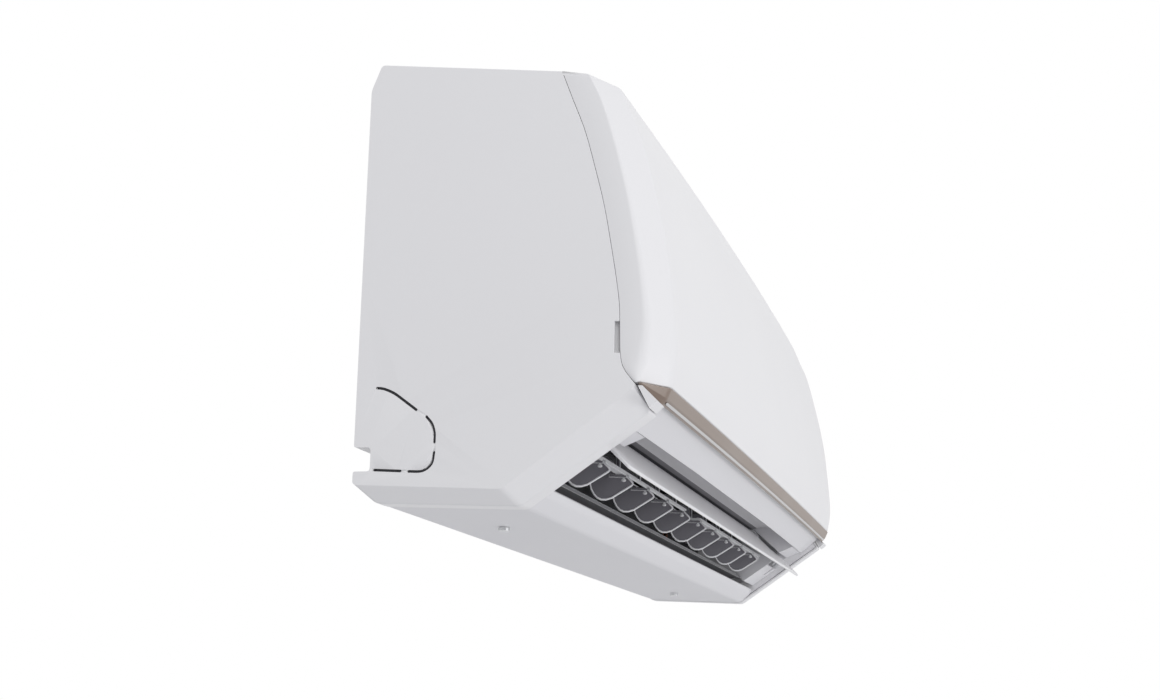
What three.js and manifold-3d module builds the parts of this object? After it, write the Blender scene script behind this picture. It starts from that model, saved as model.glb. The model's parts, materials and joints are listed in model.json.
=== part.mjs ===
// Indoor unit of a wall-mounted split air conditioner, built from its separate pieces.
// Millimetres, +Z up. X runs along the unit, the wall is the plane y = 0 and the front faces -Y.
// The origin is the centre of the mounting plate's back face.
// Profiles are written as [depth, height]: depth from the wall, height above the back bottom edge.

import * as THREE from 'three';
import { mergeVertices } from 'three/addons/utils/BufferGeometryUtils.js';
import Module from 'manifold-3d';

const wasm = await Module();
wasm.setup();

// ---------- driving dimensions ----------

// Whole unit
const LENGTH = 877;
const HEIGHT = 292;
const DRAWN_HEIGHT = 292;
const PLATE_CENTRE_HEIGHT = 146;
const WALL = 2.5;
const GAP = 0.4;
const HALF = LENGTH / 2;

// The curves above the panel's foot are drawn for one height and stretch with the unit.
const PANEL_FOOT_HEIGHT = 73.2;
const STRETCH = (HEIGHT - PANEL_FOOT_HEIGHT) / (DRAWN_HEIGHT - PANEL_FOOT_HEIGHT);
const up = (height) => PANEL_FOOT_HEIGHT + (height - PANEL_FOOT_HEIGHT) * STRETCH;
const raised = (points) => points.map(([depth, height]) => [depth, up(height)]);

// Side covers
const COVER_WIDTH = 26.5;
const COVER_BEVEL = 8.5;
const COVER_INNER = HALF - COVER_WIDTH;
const SEAM_TOP = [131.2, up(279.4)];
const BACK_CHAMFER = [6.8, 17.5];
const BOTTOM_BACK = [13.5, 0];
const BOTTOM_FRONT = [109.4, -2.6];
const NOSE_LOW = [191.7, 56.1];
const NOSE_HIGH = [183.5, 72.2];
const BACK_EDGE_HEIGHT = 11;

// Front panel
const PANEL_WALL = 3;
const PANEL_BOW = 5;
const FOOT_BOW = 2;
const BOW_FULL_HEIGHT = 125;
const CHEEK_WIDTH = 22;
const PANEL_FOOT_DEPTH = 201.8;
const PANEL_STATIONS = 14;
const PANEL_OPEN_ROOM = 0.5;
const HINGE_PIN_RADIUS = 1.6;
const HINGE_PIN_AT = [HALF - 288.5, HALF - 108.5];
const HINGE_PIN_LENGTH = 16;
const PANEL_AXIS = [SEAM_TOP[0] + 0.6, SEAM_TOP[1]];

// Air outlet and its louvre
const DUCT_LEFT = 29.9 - HALF;
const DUCT_RIGHT = HALF - 85.7;
const LOUVRE_AXIS = [143.6, 39.5];
const LOUVRE_ARM = 11;
const LOUVRE_REST_ANGLE = 46;
const LOUVRE_THICK = 2.4;
const LOUVRE_OUTER = 30.8;
const LOUVRE_INNER = 28;
const LOUVRE_LEFT = DUCT_LEFT + 7.6;
const LOUVRE_RIGHT = DUCT_RIGHT + 44.2;
const LOUVRE_PIN_RADIUS = 2.4;
const LOUVRE_ARM_WIDTH = 8;
const LOUVRE_ARM_THICK = 3;
const POCKET_LEFT = DUCT_LEFT + 48.6;
const POCKET_RIGHT = DUCT_RIGHT;
const CHIN_TOP = [192.3, 66.4];
const CHIN_LOW = [173.6, 50.3];
const CHIN_BOW = 4;
const CEILING_EDGE = [129.3, 68.6];
const LIP_DEPTH = 121.6;
const LIP_HEIGHT = 11.4;

// Vanes, their links and cranks
const VANE_COUNT = 10;
const VANE_FIRST = DUCT_LEFT + 63.6;
const VANE_LAST = DUCT_RIGHT - 58.8;
const VANE_PITCH = (VANE_LAST - VANE_FIRST) / (VANE_COUNT - 1);
const VANE_SET_BACK = 25.6;
const VANE_AXIS_DEPTH = LOUVRE_AXIS[0] - VANE_SET_BACK;
const VANE_THICK = 1.6;
const VANE_PIN_RADIUS = 2;
const VANE_REST_ANGLE = 20;
const LINK_REACH = 20.5;
const LINK_HEIGHT = 40;
const LINK_THICK = 1.4;
const LINK_PIN_RADIUS = 1.1;
const CRANK_LEFT = DUCT_LEFT + 34.6;
const CRANK_LOW = LINK_HEIGHT - 2.6;
const CRANK_RIGHT = DUCT_RIGHT - 16.8;
const VANE_MOTOR_RADIUS = 7;
const VANE_MOTOR_HEIGHT = 12;

// Fan and its motor
const FAN_CENTRE = [84, 114];
const FAN_RADIUS = 43;
const FAN_LEFT = DUCT_LEFT + 10.6;
const FAN_RIGHT = DUCT_RIGHT - 8.8;
const FAN_BLADES = 20;
const FAN_BLADE_THICK = 1.4;
const FAN_SHAFT_RADIUS = 4;
const FAN_MOTOR_RADIUS = 42;
const FAN_MOTOR_LENGTH = 44;

// Heat exchanger
const COIL_THICK = 20;
const COIL_LEFT = DUCT_LEFT + 16.6;
const COIL_RIGHT = DUCT_RIGHT - 9.8;
const COIL_PLATE = 1.5;
const COIL_LOWER = raised([[143, 88], [143, 172]]);
const COIL_UPPER = raised([[140, 181], [100, 239]]);
const COIL_BACK = raised([[80, 236], [36, 186]]);

// Filters
const FILTER_FOOT = [182, up(104)];
const FILTER_HEAD = [122.5, up(273)];
const FILTER_THICK = 2;
const FILTER_WIDTH = HALF - 50.5;
const FILTER_MIDDLE_GAP = 7;

// Wall plate
const PLATE_LENGTH = 420;
const PLATE_HEIGHT = 160;
const PLATE_THICK = 1.2;

// Pipes and hose
const GAS_PIPE_RADIUS = 4.8;
const LIQUID_PIPE_RADIUS = 3.2;
const HOSE_RADIUS = 6.5;
const PIPE_END = 118.5 - HALF;

// Electrics
const BAY_MIDDLE = HALF - 57.5;
const BUTTON_AT = HALF - 98.5;
const SCREW_AT = HALF - 138.5;

// ---------- derived places ----------

const BODY_HALF = HALF - COVER_WIDTH - GAP;
const CREASE = HALF - CHEEK_WIDTH;
const degrees = THREE.MathUtils.degToRad;

// ---------- small helpers ----------

const point = (x, depth, height) => new THREE.Vector3(x, -depth, height - PLATE_CENTRE_HEIGHT);

function polar(centre, radius, angle) {
  return [centre[0] + radius * Math.cos(degrees(angle)), centre[1] + radius * Math.sin(degrees(angle))];
}

function arc(centre, radius, from, to, steps) {
  const turn = (to - from) / steps;
  return Array.from({ length: steps + 1 }, (_, i) => polar(centre, radius, from + turn * i));
}

function smooth(points, steps) {
  const curve = new THREE.SplineCurve(points.map(([a, b]) => new THREE.Vector2(a, b)));
  return curve.getSpacedPoints(steps).map((p) => [p.x, p.y]);
}

function shift(points, depth, height) {
  return points.map(([a, b]) => [a + depth, b + height]);
}

// A closed three.js geometry becomes a solid. Its faces are turned outward first.
function solidOf(geometry) {
  const bare = geometry.clone();
  bare.deleteAttribute('normal');
  bare.deleteAttribute('uv');
  const merged = mergeVertices(bare, 1e-4);
  const vertices = merged.attributes.position.array;
  const corners = Array.from(merged.index.array);
  const [a, b, c] = [new THREE.Vector3(), new THREE.Vector3(), new THREE.Vector3()];
  let volume = 0;
  for (let i = 0; i < corners.length; i += 3) {
    a.fromArray(vertices, corners[i] * 3);
    b.fromArray(vertices, corners[i + 1] * 3);
    c.fromArray(vertices, corners[i + 2] * 3);
    volume += a.dot(b.cross(c));
  }
  if (volume < 0) corners.reverse();
  return new wasm.Manifold(
    new wasm.Mesh({
      numProp: 3,
      vertProperties: new Float32Array(vertices),
      triVerts: new Uint32Array(corners),
    }),
  );
}

const join = (first, ...rest) => rest.reduce((whole, piece) => whole.add(piece), first);
const cut = (first, ...rest) => rest.reduce((whole, piece) => whole.subtract(piece), first);

// A solid between sections that have the same number of points: [x, outline] in rising x.
function loft(sections) {
  const count = sections[0][1].length;
  const place = (x) => ([d, h]) => point(x, d, h).toArray();
  const positions = sections.flatMap(([x, outline]) => outline.flatMap(place(x)));
  const faces = [];
  for (let s = 0; s < sections.length - 1; s++) {
    for (let i = 0; i < count; i++) {
      const next = (i + 1) % count;
      const [p, q] = [s * count + i, s * count + next];
      faces.push(p, q, q + count, p, q + count, p + count);
    }
  }
  const last = sections.length - 1;
  capTriangles(sections[0][1]).forEach(([i, j, k]) => faces.push(k, j, i));
  capTriangles(sections[last][1]).forEach((t) => faces.push(...t.map((i) => i + last * count)));
  const geometry = new THREE.BufferGeometry();
  geometry.setAttribute('position', new THREE.Float32BufferAttribute(positions, 3));
  geometry.setIndex(faces);
  return solidOf(geometry);
}

// An outline's triangles, each turning the same way as the outline.
function capTriangles(outline) {
  const flat = outline.map(([d, h]) => new THREE.Vector2(d, h));
  const clockwise = THREE.ShapeUtils.isClockWise(flat);
  return THREE.ShapeUtils.triangulateShape(flat, []).map((t) => {
    const same = THREE.ShapeUtils.isClockWise(t.map((i) => flat[i])) === clockwise;
    return same ? t : [t[2], t[1], t[0]];
  });
}

const prism = (outline, left, right) => loft([[left, outline], [right, outline]]);

function box(left, right, back, front, low, high) {
  return prism([[back, low], [front, low], [front, high], [back, high]], left, right);
}

// A round bar between two places, each [x, depth, height].
function bar(from, to, radius, segments = 16) {
  const [a, b] = [point(...from), point(...to)];
  const along = b.clone().sub(a);
  const geometry = new THREE.CylinderGeometry(radius, radius, along.length(), segments);
  geometry.translate(0, along.length() / 2, 0);
  geometry.applyQuaternion(
    new THREE.Quaternion().setFromUnitVectors(new THREE.Vector3(0, 1, 0), along.clone().normalize()),
  );
  geometry.translate(a.x, a.y, a.z);
  return solidOf(geometry);
}

const shaft = (left, right, [d, h], radius, segments) => bar([left, d, h], [right, d, h], radius, segments);

// A round tube along a route of places, each [x, depth, height].
function tube(route, radius, sides, steps) {
  const path = new THREE.CatmullRomCurve3(route.map((p) => point(...p)), false, 'centripetal');
  const section = new THREE.Shape();
  section.absarc(0, 0, radius, 0, Math.PI * 2);
  return solidOf(
    new THREE.ExtrudeGeometry(section, {
      extrudePath: path, steps, curveSegments: sides / 2, bevelEnabled: false,
    }),
  );
}

// A strip of even thickness along a path of [depth, height] points; it thickens to the path's left.
function strip(path, thickness) {
  const normals = path.map((_, i) => {
    const before = path[Math.max(i - 1, 0)];
    const after = path[Math.min(i + 1, path.length - 1)];
    const along = new THREE.Vector2(after[0] - before[0], after[1] - before[1]).normalize();
    return [-along.y, along.x];
  });
  const offset = path.map(([d, h], i) => [d + normals[i][0] * thickness, h + normals[i][1] * thickness]);
  return [...path, ...offset.reverse()];
}

// The outline moved inward by an amount; it turns counter-clockwise with depth to the right.
function inset(outline, amount) {
  const count = outline.length;
  return outline.map(([d, h], i) => {
    const [pd, ph] = outline[(i + count - 1) % count];
    const [nd, nh] = outline[(i + 1) % count];
    const first = new THREE.Vector2(d - pd, h - ph).normalize();
    const second = new THREE.Vector2(nd - d, nh - h).normalize();
    const bisector = new THREE.Vector2(-first.y - second.y, first.x + second.x).normalize();
    const stretch = amount / Math.max(bisector.dot(new THREE.Vector2(-first.y, first.x)), 0.4);
    return [d + bisector.x * stretch, h + bisector.y * stretch];
  });
}

const model = new THREE.Group();

function material(color, roughness, metalness = 0) {
  return new THREE.MeshStandardMaterial({ color, roughness, metalness });
}

const WHITE = material(0xeeedf0, 0.4);
const GREY_WHITE = material(0xd6d5da, 0.5);
const BEIGE = material(0xa2978f, 0.35, 0.4);
const DARK = material(0x6a696f, 0.55);
const BLACK = material(0x2c2c30, 0.7);
const STEEL = material(0xb4b8bb, 0.45, 0.9);
const COPPER = material(0xb87349, 0.35, 0.9);
const BRASS = material(0xc9a24d, 0.35, 0.9);
const FIN = material(0xaebfcb, 0.4, 0.8);
const BOARD = material(0x2f6b46, 0.6);
const FOAM = material(0x4a4c50, 0.9);

function piece(name, solid, look) {
  const mesh = solid.getMesh();
  const geometry = new THREE.BufferGeometry();
  geometry.setAttribute('position', new THREE.Float32BufferAttribute(mesh.vertProperties, 3));
  geometry.setIndex(Array.from(mesh.triVerts));
  geometry.computeVertexNormals();
  const result = new THREE.Mesh(geometry, look);
  result.name = name;
  model.add(result);
}

// ---------- casing ----------

const seam = smooth(
  [SEAM_TOP, ...raised([[138, 262], [147.5, 238], [155, 212], [161.4, 187], [166.4, 161], [169.9, 141],
    [172.3, 124], [173, 108], [173.6, 92], [175.8, 82.5], [182.6, 73.2]])],
  14,
);

// The side cover's outline; low holds its lower corners from the nose round to the back.
function coverOutline(low) {
  return [
    [0, HEIGHT - BACK_CHAMFER[1]],
    ...low.slice().reverse(),
    [NOSE_HIGH[0] - GAP, NOSE_HIGH[1]],
    ...shift(seam.slice(1).reverse(), -GAP, 0),
    [SEAM_TOP[0] - GAP, SEAM_TOP[1]],
    [BACK_CHAMFER[0], HEIGHT],
  ];
}

// The web that closes the outlet's end, drawn past the cover's walls.
const coverWeb = [[96, -6], [112, -6], [196, 54], [186, 74], [170, 62], [140, 40], [104, 14]];

function sideCover(side) {
  const full = [NOSE_LOW, BOTTOM_FRONT, BOTTOM_BACK, [0, BACK_EDGE_HEIGHT]];
  const face = [[181.4, 69.4], [99, 7.4], [2, 10.7], [0, BACK_EDGE_HEIGHT + 1]];
  const outlines = [coverOutline(full), coverOutline(full), coverOutline(face)];
  const stations = [COVER_INNER, HALF - COVER_BEVEL, HALF];
  const sections = stations.map((x, i) => [side * x, outlines[i]]);
  if (side < 0) sections.reverse();
  const hollow = inset(coverOutline(full), WALL);
  const notch = box(...span(side, COVER_INNER - 1, HALF + 1), -1, 11.4, 19.4, 34.8);
  const grip = box(...span(side, HALF - 3.5, HALF + 1), 169.5, 190, 92, 112.3);
  const slots = knockoutSlots(side);
  const shellHollow = prism(hollow, ...span(side, COVER_INNER - 1, HALF - WALL - 0.5));
  const bevelKeep = WALL + COVER_BEVEL;
  const lowHollow = box(...span(side, COVER_INNER - 2, HALF - bevelKeep), -5, 200, -10, HEIGHT + 8);
  const upHollow = box(...span(side, COVER_INNER - 2, HALF), -5, 200, 24, HEIGHT + 8);
  const web = prism(coverWeb, ...span(side, COVER_INNER - 1, COVER_INNER + WALL));
  const room = cut(shellHollow.intersect(join(lowHollow, upHollow)), web);
  return cut(loft(sections), room, notch, grip, ...slots);
}

// A stretch of x on one side of the unit, in rising order.
function span(side, near, far) {
  return side > 0 ? [near, far] : [-far, -near];
}

// The slots that let the pipe opening be broken out of the side wall.
function knockoutSlots(side) {
  const stretches = [
    [[11, 73.2], [18.5, 72.5], [25.4, 69.6], [31.5, 65.4], [41, 58.5]],
    [[48, 54], [51.9, 49.3], [53.8, 43.6], [54, 37.5]],
    [[54, 31], [53, 24.5], [49.5, 20.6], [45, 19], [37.5, 19.1]],
    [[32, 19.4], [11.2, 20.4]],
  ];
  return stretches.map((route) => prism(strip(route, 1.3), ...span(side, HALF - WALL - 6, HALF + 1)));
}

function topGrille() {
  const outer = [[0.5, HEIGHT - BACK_CHAMFER[1]], [BACK_CHAMFER[0], HEIGHT],
    [SEAM_TOP[0] - GAP, SEAM_TOP[1]]];
  let body = prism(strip(outer, -WALL), -BODY_HALF, BODY_HALF);
  const slotPitch = (BODY_HALF - 15.6) / 9;
  const slotWidth = slotPitch - 8;
  for (let i = -9; i < 9; i++) {
    const left = i * slotPitch + (slotPitch - slotWidth) / 2;
    for (const [back, front] of [[20, 58], [66, 104]]) {
      body = body.subtract(box(left, left + slotWidth, back, front, HEIGHT - 32, HEIGHT + 8));
    }
  }
  for (const side of [-1, 1]) {
    const [left, right] = filterSpan(side);
    body = body.subtract(box(left - 1, right + 1, 114.6, 125, HEIGHT - 32, HEIGHT + 8));
    for (const x of HINGE_PIN_AT) {
      const room = HINGE_PIN_RADIUS + PANEL_OPEN_ROOM;
      body = body.subtract(shaft(...pinSpan(side * x, 1.2), PANEL_AXIS, room, 16));
    }
  }
  return body;
}

function bottomCover() {
  const path = [[14, 0.4], [109, -2.2], [119.2, 6.6], [LIP_DEPTH, LIP_HEIGHT]];
  const plate = prism(strip(path, WALL), -BODY_HALF, BODY_HALF);
  const screws = [-1, 1].map((side) => bar([side * SCREW_AT, 60, -10], [side * SCREW_AT, 60, 10], 2.4, 12));
  return cut(plate, ...screws);
}

function casingScrew(side) {
  const x = side * SCREW_AT;
  return join(bar([x, 60, -3.6], [x, 60, -1.4], 4, 14), bar([x, 60, -1.6], [x, 60, 9], 1.9, 12));
}

// ---------- front panel and trim ----------

const pinSpan = (x, room = 0) => [x - HINGE_PIN_LENGTH / 2 - room, x + HINGE_PIN_LENGTH / 2 + room];

// The share of a bow at x: nothing at the cheeks and all of it in the middle.
function bowShare(x) {
  const share = Math.abs(x) / CREASE;
  return Math.max(0, 1 - share * share);
}

// How far each piece stands out in the middle, at a height.
const chinBow = () => CHIN_BOW;
const footBow = () => FOOT_BOW;
function panelBow(height) {
  const share = (height - PANEL_FOOT_HEIGHT) / (up(BOW_FULL_HEIGHT) - PANEL_FOOT_HEIGHT);
  return FOOT_BOW + (PANEL_BOW - FOOT_BOW) * THREE.MathUtils.clamp(share, 0, 1);
}

// The bow grows from the seam to the front, so that the pieces behind keep their shape.
function bowed(outline, x, amount, start, full) {
  return outline.map(([d, h]) => {
    const weight = THREE.MathUtils.clamp((d - start) / (full - start), 0, 1);
    return [d + amount(h) * bowShare(x) * weight, h];
  });
}

const cheekEdge = raised([[149, 276.4], [158, 258], [167.5, 229.4], [177.3, 192.4], [185.3, 153.1],
  [189.6, 125], [190.8, 109], [188.8, 92], [186, 80], [185.4, PANEL_FOOT_HEIGHT]]);
const frontEdge = raised([[164.8, 273.6], [172.5, 255], [180.5, 235.8], [191.8, 192.1], [198.4, 158.3],
  [202.3, 125], [204.2, 104], [204.2, 88], [PANEL_FOOT_DEPTH, PANEL_FOOT_HEIGHT]]);

function stationsAcross(reach) {
  return Array.from({ length: PANEL_STATIONS + 1 }, (_, i) => reach * ((2 * i) / PANEL_STATIONS - 1));
}

// The panel's section: from the foot up its back edge, over the top and down its front.
function panelOutline(front, skin, reach) {
  const back = shift(seam.slice().reverse(), reach ? -reach : 0, 0);
  const face = smooth(front, 14).map(([d, h], i) => [d - skin, i === 0 ? h - skin : h]);
  back[back.length - 1] = [SEAM_TOP[0] - (reach || 0), SEAM_TOP[1] - skin];
  back[0] = [back[0][0], PANEL_FOOT_HEIGHT + skin];
  face[face.length - 1][1] = PANEL_FOOT_HEIGHT + skin;
  return [...back, ...face];
}

function panelBlock(skin, reach) {
  const side = panelOutline(cheekEdge, skin, reach);
  const front = panelOutline(frontEdge, skin, reach);
  const [end, crease] = [HALF - skin, CREASE - skin * 0.5];
  const middle = stationsAcross(crease);
  return loft([
    [-end, side],
    ...middle.map((x) => [x, bowed(front, x, panelBow, 128, 172)]),
    [end, side],
  ]);
}

function frontPanel() {
  const pins = [-1, 1].flatMap((side) =>
    HINGE_PIN_AT.map((x) => shaft(...pinSpan(side * x), PANEL_AXIS, HINGE_PIN_RADIUS, 14)),
  );
  return join(cut(panelBlock(0, 0), panelBlock(PANEL_WALL, 40)), ...pins);
}

// A moulding that follows the panel's foot: one section between the creases, another at the ends.
function footStrip(outline, end) {
  const middle = stationsAcross(CREASE);
  return loft([
    [-HALF, end],
    ...middle.map((x) => [x, bowed(outline, x, footBow, 128, 172)]),
    [HALF, end],
  ]);
}

const TRIM_TOP = PANEL_FOOT_HEIGHT - GAP;
const trimOutline = [[198.8, TRIM_TOP], [196.9, 67.6], [194, 64], [195.3, 62.4], [198.9, 66.2],
  [201.8, TRIM_TOP]];
const inlayOutline = [[198.6, 65.3], [196.55, 63.15], [196.95, 62.75], [199, 64.95]];

const trimEndOutline = [[185.2, TRIM_TOP], [185, 72.5], [184.8, 72.2], [185.6, 71.8], [187.6, 71.9],
  [188.2, TRIM_TOP]];

const trimStrip = () => footStrip(trimOutline, trimEndOutline);
const trimInlay = () => prismBowed(inlayOutline, -CREASE + 4, CREASE - 4);

function prismBowed(outline, left, right) {
  const step = (right - left) / PANEL_STATIONS;
  const stations = Array.from({ length: PANEL_STATIONS + 1 }, (_, i) => left + step * i);
  return loft(stations.map((x) => [x, bowed(outline, x, footBow, 128, 172)]));
}

// ---------- air outlet ----------

const vaneAxes = Array.from({ length: VANE_COUNT }, (_, i) => VANE_FIRST + i * VANE_PITCH);
const crankAxes = [CRANK_LEFT, CRANK_RIGHT];

function outletFrame() {
  const pocket = arc(LOUVRE_AXIS, 31.8, 20.5, 112, 12);
  const body = [
    ...pocket, CEILING_EDGE, [113, 73.4], [111.6, 75.8], [114, 79], [160, 79], [172, 74], [178, 70.6],
    [190, 69.2], CHIN_TOP, CHIN_LOW,
  ];
  const stations = Array.from({ length: 13 }, (_, i) => BODY_HALF * (i / 6 - 1));
  let frame = loft(stations.map((x) => [x, bowed(body, x, chinBow, 150, 174)]));
  const filler = [[172.6, 51], [158.8, 45.2], [132, 69.5], [144, 76], [170, 66]];
  frame = join(frame, prism(filler, -BODY_HALF, POCKET_LEFT), prism(filler, POCKET_RIGHT, BODY_HALF));
  const wall = [[116, 22], [LIP_DEPTH + 1, 16.4], [146.5, 32.6], [157, 46], [131, 71], [112, 76], [98, 66],
    [76, 62], [82, 34]];
  const clearFront = [[150.6, 36], [151.4, 40], [149, 45], [145, 47], [140, 58]];
  const right = [...wall.slice(0, 3), ...clearFront, ...wall.slice(4)];
  const left = [...wall.slice(0, 3), [158.4, 45.2], [131, 71], ...wall.slice(5)];
  const rightWall = prism(right, DUCT_RIGHT, DUCT_RIGHT + WALL);
  const leftWall = prism(left, -BODY_HALF, DUCT_LEFT);
  const edge = [[LIP_DEPTH + 0.8, 16], [146.5, 32.7], [145.4, 34.4], [119.6, 17.2]];
  const flange = prism(edge, DUCT_RIGHT, BODY_HALF);
  const foot = prism([[158.4, 45.2], [146.5, 32.7], [142, 37], [131, 71]], BODY_HALF - 2.4, BODY_HALF);
  frame = join(frame, rightWall, leftWall, flange, foot);
  const armSlot = box(LOUVRE_RIGHT - LOUVRE_ARM_THICK - 1.2, LOUVRE_RIGHT + 1.2, 136, 150, 20, 44);
  const pinHole = shaft(-BODY_HALF - 1, LOUVRE_LEFT, LOUVRE_AXIS, LOUVRE_PIN_RADIUS + GAP, 16);
  const fanRoom = shaft(-BODY_HALF - 1, BODY_HALF + 1, FAN_CENTRE, FAN_RADIUS + 3.2, 40);
  const sockets = [...vaneAxes, ...crankAxes].map((x) =>
    bar([x, VANE_AXIS_DEPTH, 60], [x, VANE_AXIS_DEPTH, 76.6], VANE_PIN_RADIUS + GAP, 12),
  );
  return cut(frame, armSlot, pinHole, fanRoom, ...sockets);
}

function chinEnd(side) {
  const outline = [[184.8, 71.2], [187.6, 71.2], [197.4, 61], [192.4, 56.8]];
  const room = footStrip(inset(trimOutline, -GAP), inset(trimEndOutline, -GAP));
  return cut(prism(outline, ...span(side, CREASE + 0.5, HALF - 0.6)), room);
}

// A place on the louvre's section: t runs from the arm's foot to the free edge, r out from the axis.
function louvrePlace(t, r) {
  const [nx, ny] = polar([0, 0], 1, LOUVRE_REST_ANGLE);
  return [LOUVRE_AXIS[0] + nx * r + ny * t, LOUVRE_AXIS[1] + ny * r - nx * t];
}

function louvreStrip(from, to) {
  const place = louvrePlace;
  const inner = LOUVRE_ARM - LOUVRE_THICK;
  const tip = 0.8;
  return [
    place(from, LOUVRE_ARM - tip), place(from + tip, LOUVRE_ARM), place(to - tip, LOUVRE_ARM),
    place(to, LOUVRE_ARM - tip), place(to - tip, inner), place(from + tip, inner),
  ];
}

const louvreBlade = () => join(
  prism(louvreStrip(-LOUVRE_INNER, LOUVRE_OUTER), POCKET_LEFT + 2, POCKET_RIGHT - 2),
  prism(louvreStrip(-1, LOUVRE_OUTER), LOUVRE_LEFT, LOUVRE_RIGHT),
);

// An arm stands on the blade's inner face and carries a pin on the louvre's axis.
function louvreArm(side) {
  const half = LOUVRE_ARM_WIDTH / 2;
  const round = arc([0, 0], half, 180, 360, 8).map(([t, r]) => louvrePlace(t, r));
  const foot = LOUVRE_ARM - 1;
  const outline = [...round, louvrePlace(half, foot), louvrePlace(-0.9, foot), louvrePlace(-half, 4)];
  const [near, far] = side < 0 ? [LOUVRE_LEFT, LOUVRE_LEFT + LOUVRE_ARM_THICK]
    : [LOUVRE_RIGHT - LOUVRE_ARM_THICK, LOUVRE_RIGHT];
  const pin = side < 0 ? shaft(LOUVRE_LEFT - 8.4, LOUVRE_LEFT + 1, LOUVRE_AXIS, LOUVRE_PIN_RADIUS, 16)
    : shaft(LOUVRE_RIGHT - 1, LOUVRE_RIGHT + 6, LOUVRE_AXIS, LOUVRE_PIN_RADIUS, 16);
  return cut(join(prism(outline, near, far), pin), louvreBlade());
}

// The stepper's shaft sits off its centre, so its body keeps clear of the mouth.
function louvreMotor() {
  const centre = [LOUVRE_AXIS[0] - 4.5, LOUVRE_AXIS[1] + 6.6];
  const body = shaft(LOUVRE_RIGHT + 1.6, LOUVRE_RIGHT + 11.5, centre, 11.5, 20);
  return cut(body, shaft(LOUVRE_RIGHT, LOUVRE_RIGHT + 7, LOUVRE_AXIS, LOUVRE_PIN_RADIUS + GAP, 16));
}

// A vane drawn straight ahead, then turned about its upright pin.
function turned(solid, x) {
  const [cx, cy] = [x, -VANE_AXIS_DEPTH];
  const moved = solid.translate([-cx, -cy, 0]).rotate([0, 0, VANE_REST_ANGLE]);
  return moved.translate([cx, cy, 0]);
}

// The blade's outline, drawn from its upright pin: a hooked tail, a rounded tip, the link's notch.
function vaneOutline() {
  const d = (set) => VANE_AXIS_DEPTH + set;
  const shape = new THREE.Shape();
  shape.moveTo(d(1), 52.5);
  shape.lineTo(d(8.2), 52.5);
  shape.lineTo(d(13.2), LINK_HEIGHT + 7.9);
  shape.lineTo(d(13.2), LINK_HEIGHT - 0.6);
  shape.lineTo(d(22.3), LINK_HEIGHT - 0.6);
  shape.lineTo(d(26.6), 35.4);
  shape.quadraticCurveTo(d(28.6), 33.2, d(26.2), 31.6);
  shape.lineTo(d(12.5), 22.6);
  shape.quadraticCurveTo(d(1.5), 17.6, d(-3), 28.4);
  shape.quadraticCurveTo(d(-5.4), 36, d(-3.4), 52.5);
  return shape.getPoints(7).map((p) => [p.x, p.y]).slice(0, -1);
}

function vane(x) {
  const blade = prism(vaneOutline(), x - VANE_THICK / 2, x + VANE_THICK / 2);
  const pin = bar([x, VANE_AXIS_DEPTH, 45], [x, VANE_AXIS_DEPTH, 76], VANE_PIN_RADIUS, 12);
  const ear = box(x - 1.6, x + 1.6, VANE_AXIS_DEPTH + 10, VANE_AXIS_DEPTH + LINK_REACH + 1.8,
    LINK_HEIGHT - 2.4, LINK_HEIGHT - GAP);
  return turned(join(blade, pin, ear, linkPin(x)), x);
}

function linkPin(x) {
  const depth = VANE_AXIS_DEPTH + LINK_REACH;
  return bar([x, depth, LINK_HEIGHT - 1], [x, depth, LINK_HEIGHT + LINK_THICK + 0.8], LINK_PIN_RADIUS, 10);
}

function crank(x) {
  const pin = bar([x, VANE_AXIS_DEPTH, CRANK_LOW], [x, VANE_AXIS_DEPTH, 56], VANE_PIN_RADIUS, 12);
  const arm = box(x - 2.2, x + 2.2, VANE_AXIS_DEPTH - 2.2, VANE_AXIS_DEPTH + LINK_REACH + 2, CRANK_LOW,
    LINK_HEIGHT - GAP);
  return turned(join(pin, arm, linkPin(x)), x);
}

function vaneMotor(x) {
  const [low, high] = [54.4, 54.4 + VANE_MOTOR_HEIGHT];
  const body = bar([x, VANE_AXIS_DEPTH, low], [x, VANE_AXIS_DEPTH, high], VANE_MOTOR_RADIUS, 20);
  const stud = bar([x, VANE_AXIS_DEPTH, high - 1], [x, VANE_AXIS_DEPTH, 76], VANE_PIN_RADIUS, 12);
  const room = VANE_PIN_RADIUS + GAP;
  return cut(join(body, stud), bar([x, VANE_AXIS_DEPTH, low - 1], [x, VANE_AXIS_DEPTH, low + 3], room, 12));
}

function link(axes) {
  const sway = LINK_REACH * Math.sin(degrees(VANE_REST_ANGLE));
  const places = axes.map((x) => x + sway);
  const [left, right] = [Math.min(...places) - 4, Math.max(...places) + 4];
  const front = VANE_AXIS_DEPTH + LINK_REACH + 1.9;
  const rod = box(left, right, front - 8.2, front, LINK_HEIGHT, LINK_HEIGHT + LINK_THICK);
  const [under, over] = [LINK_HEIGHT - 1, LINK_HEIGHT + LINK_THICK + 1];
  const slots = places.map((x) => box(x - 1.9, x + 1.9, front - 7.1, front - 0.6, under, over));
  return cut(rod, ...slots);
}

// ---------- fan ----------

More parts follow.
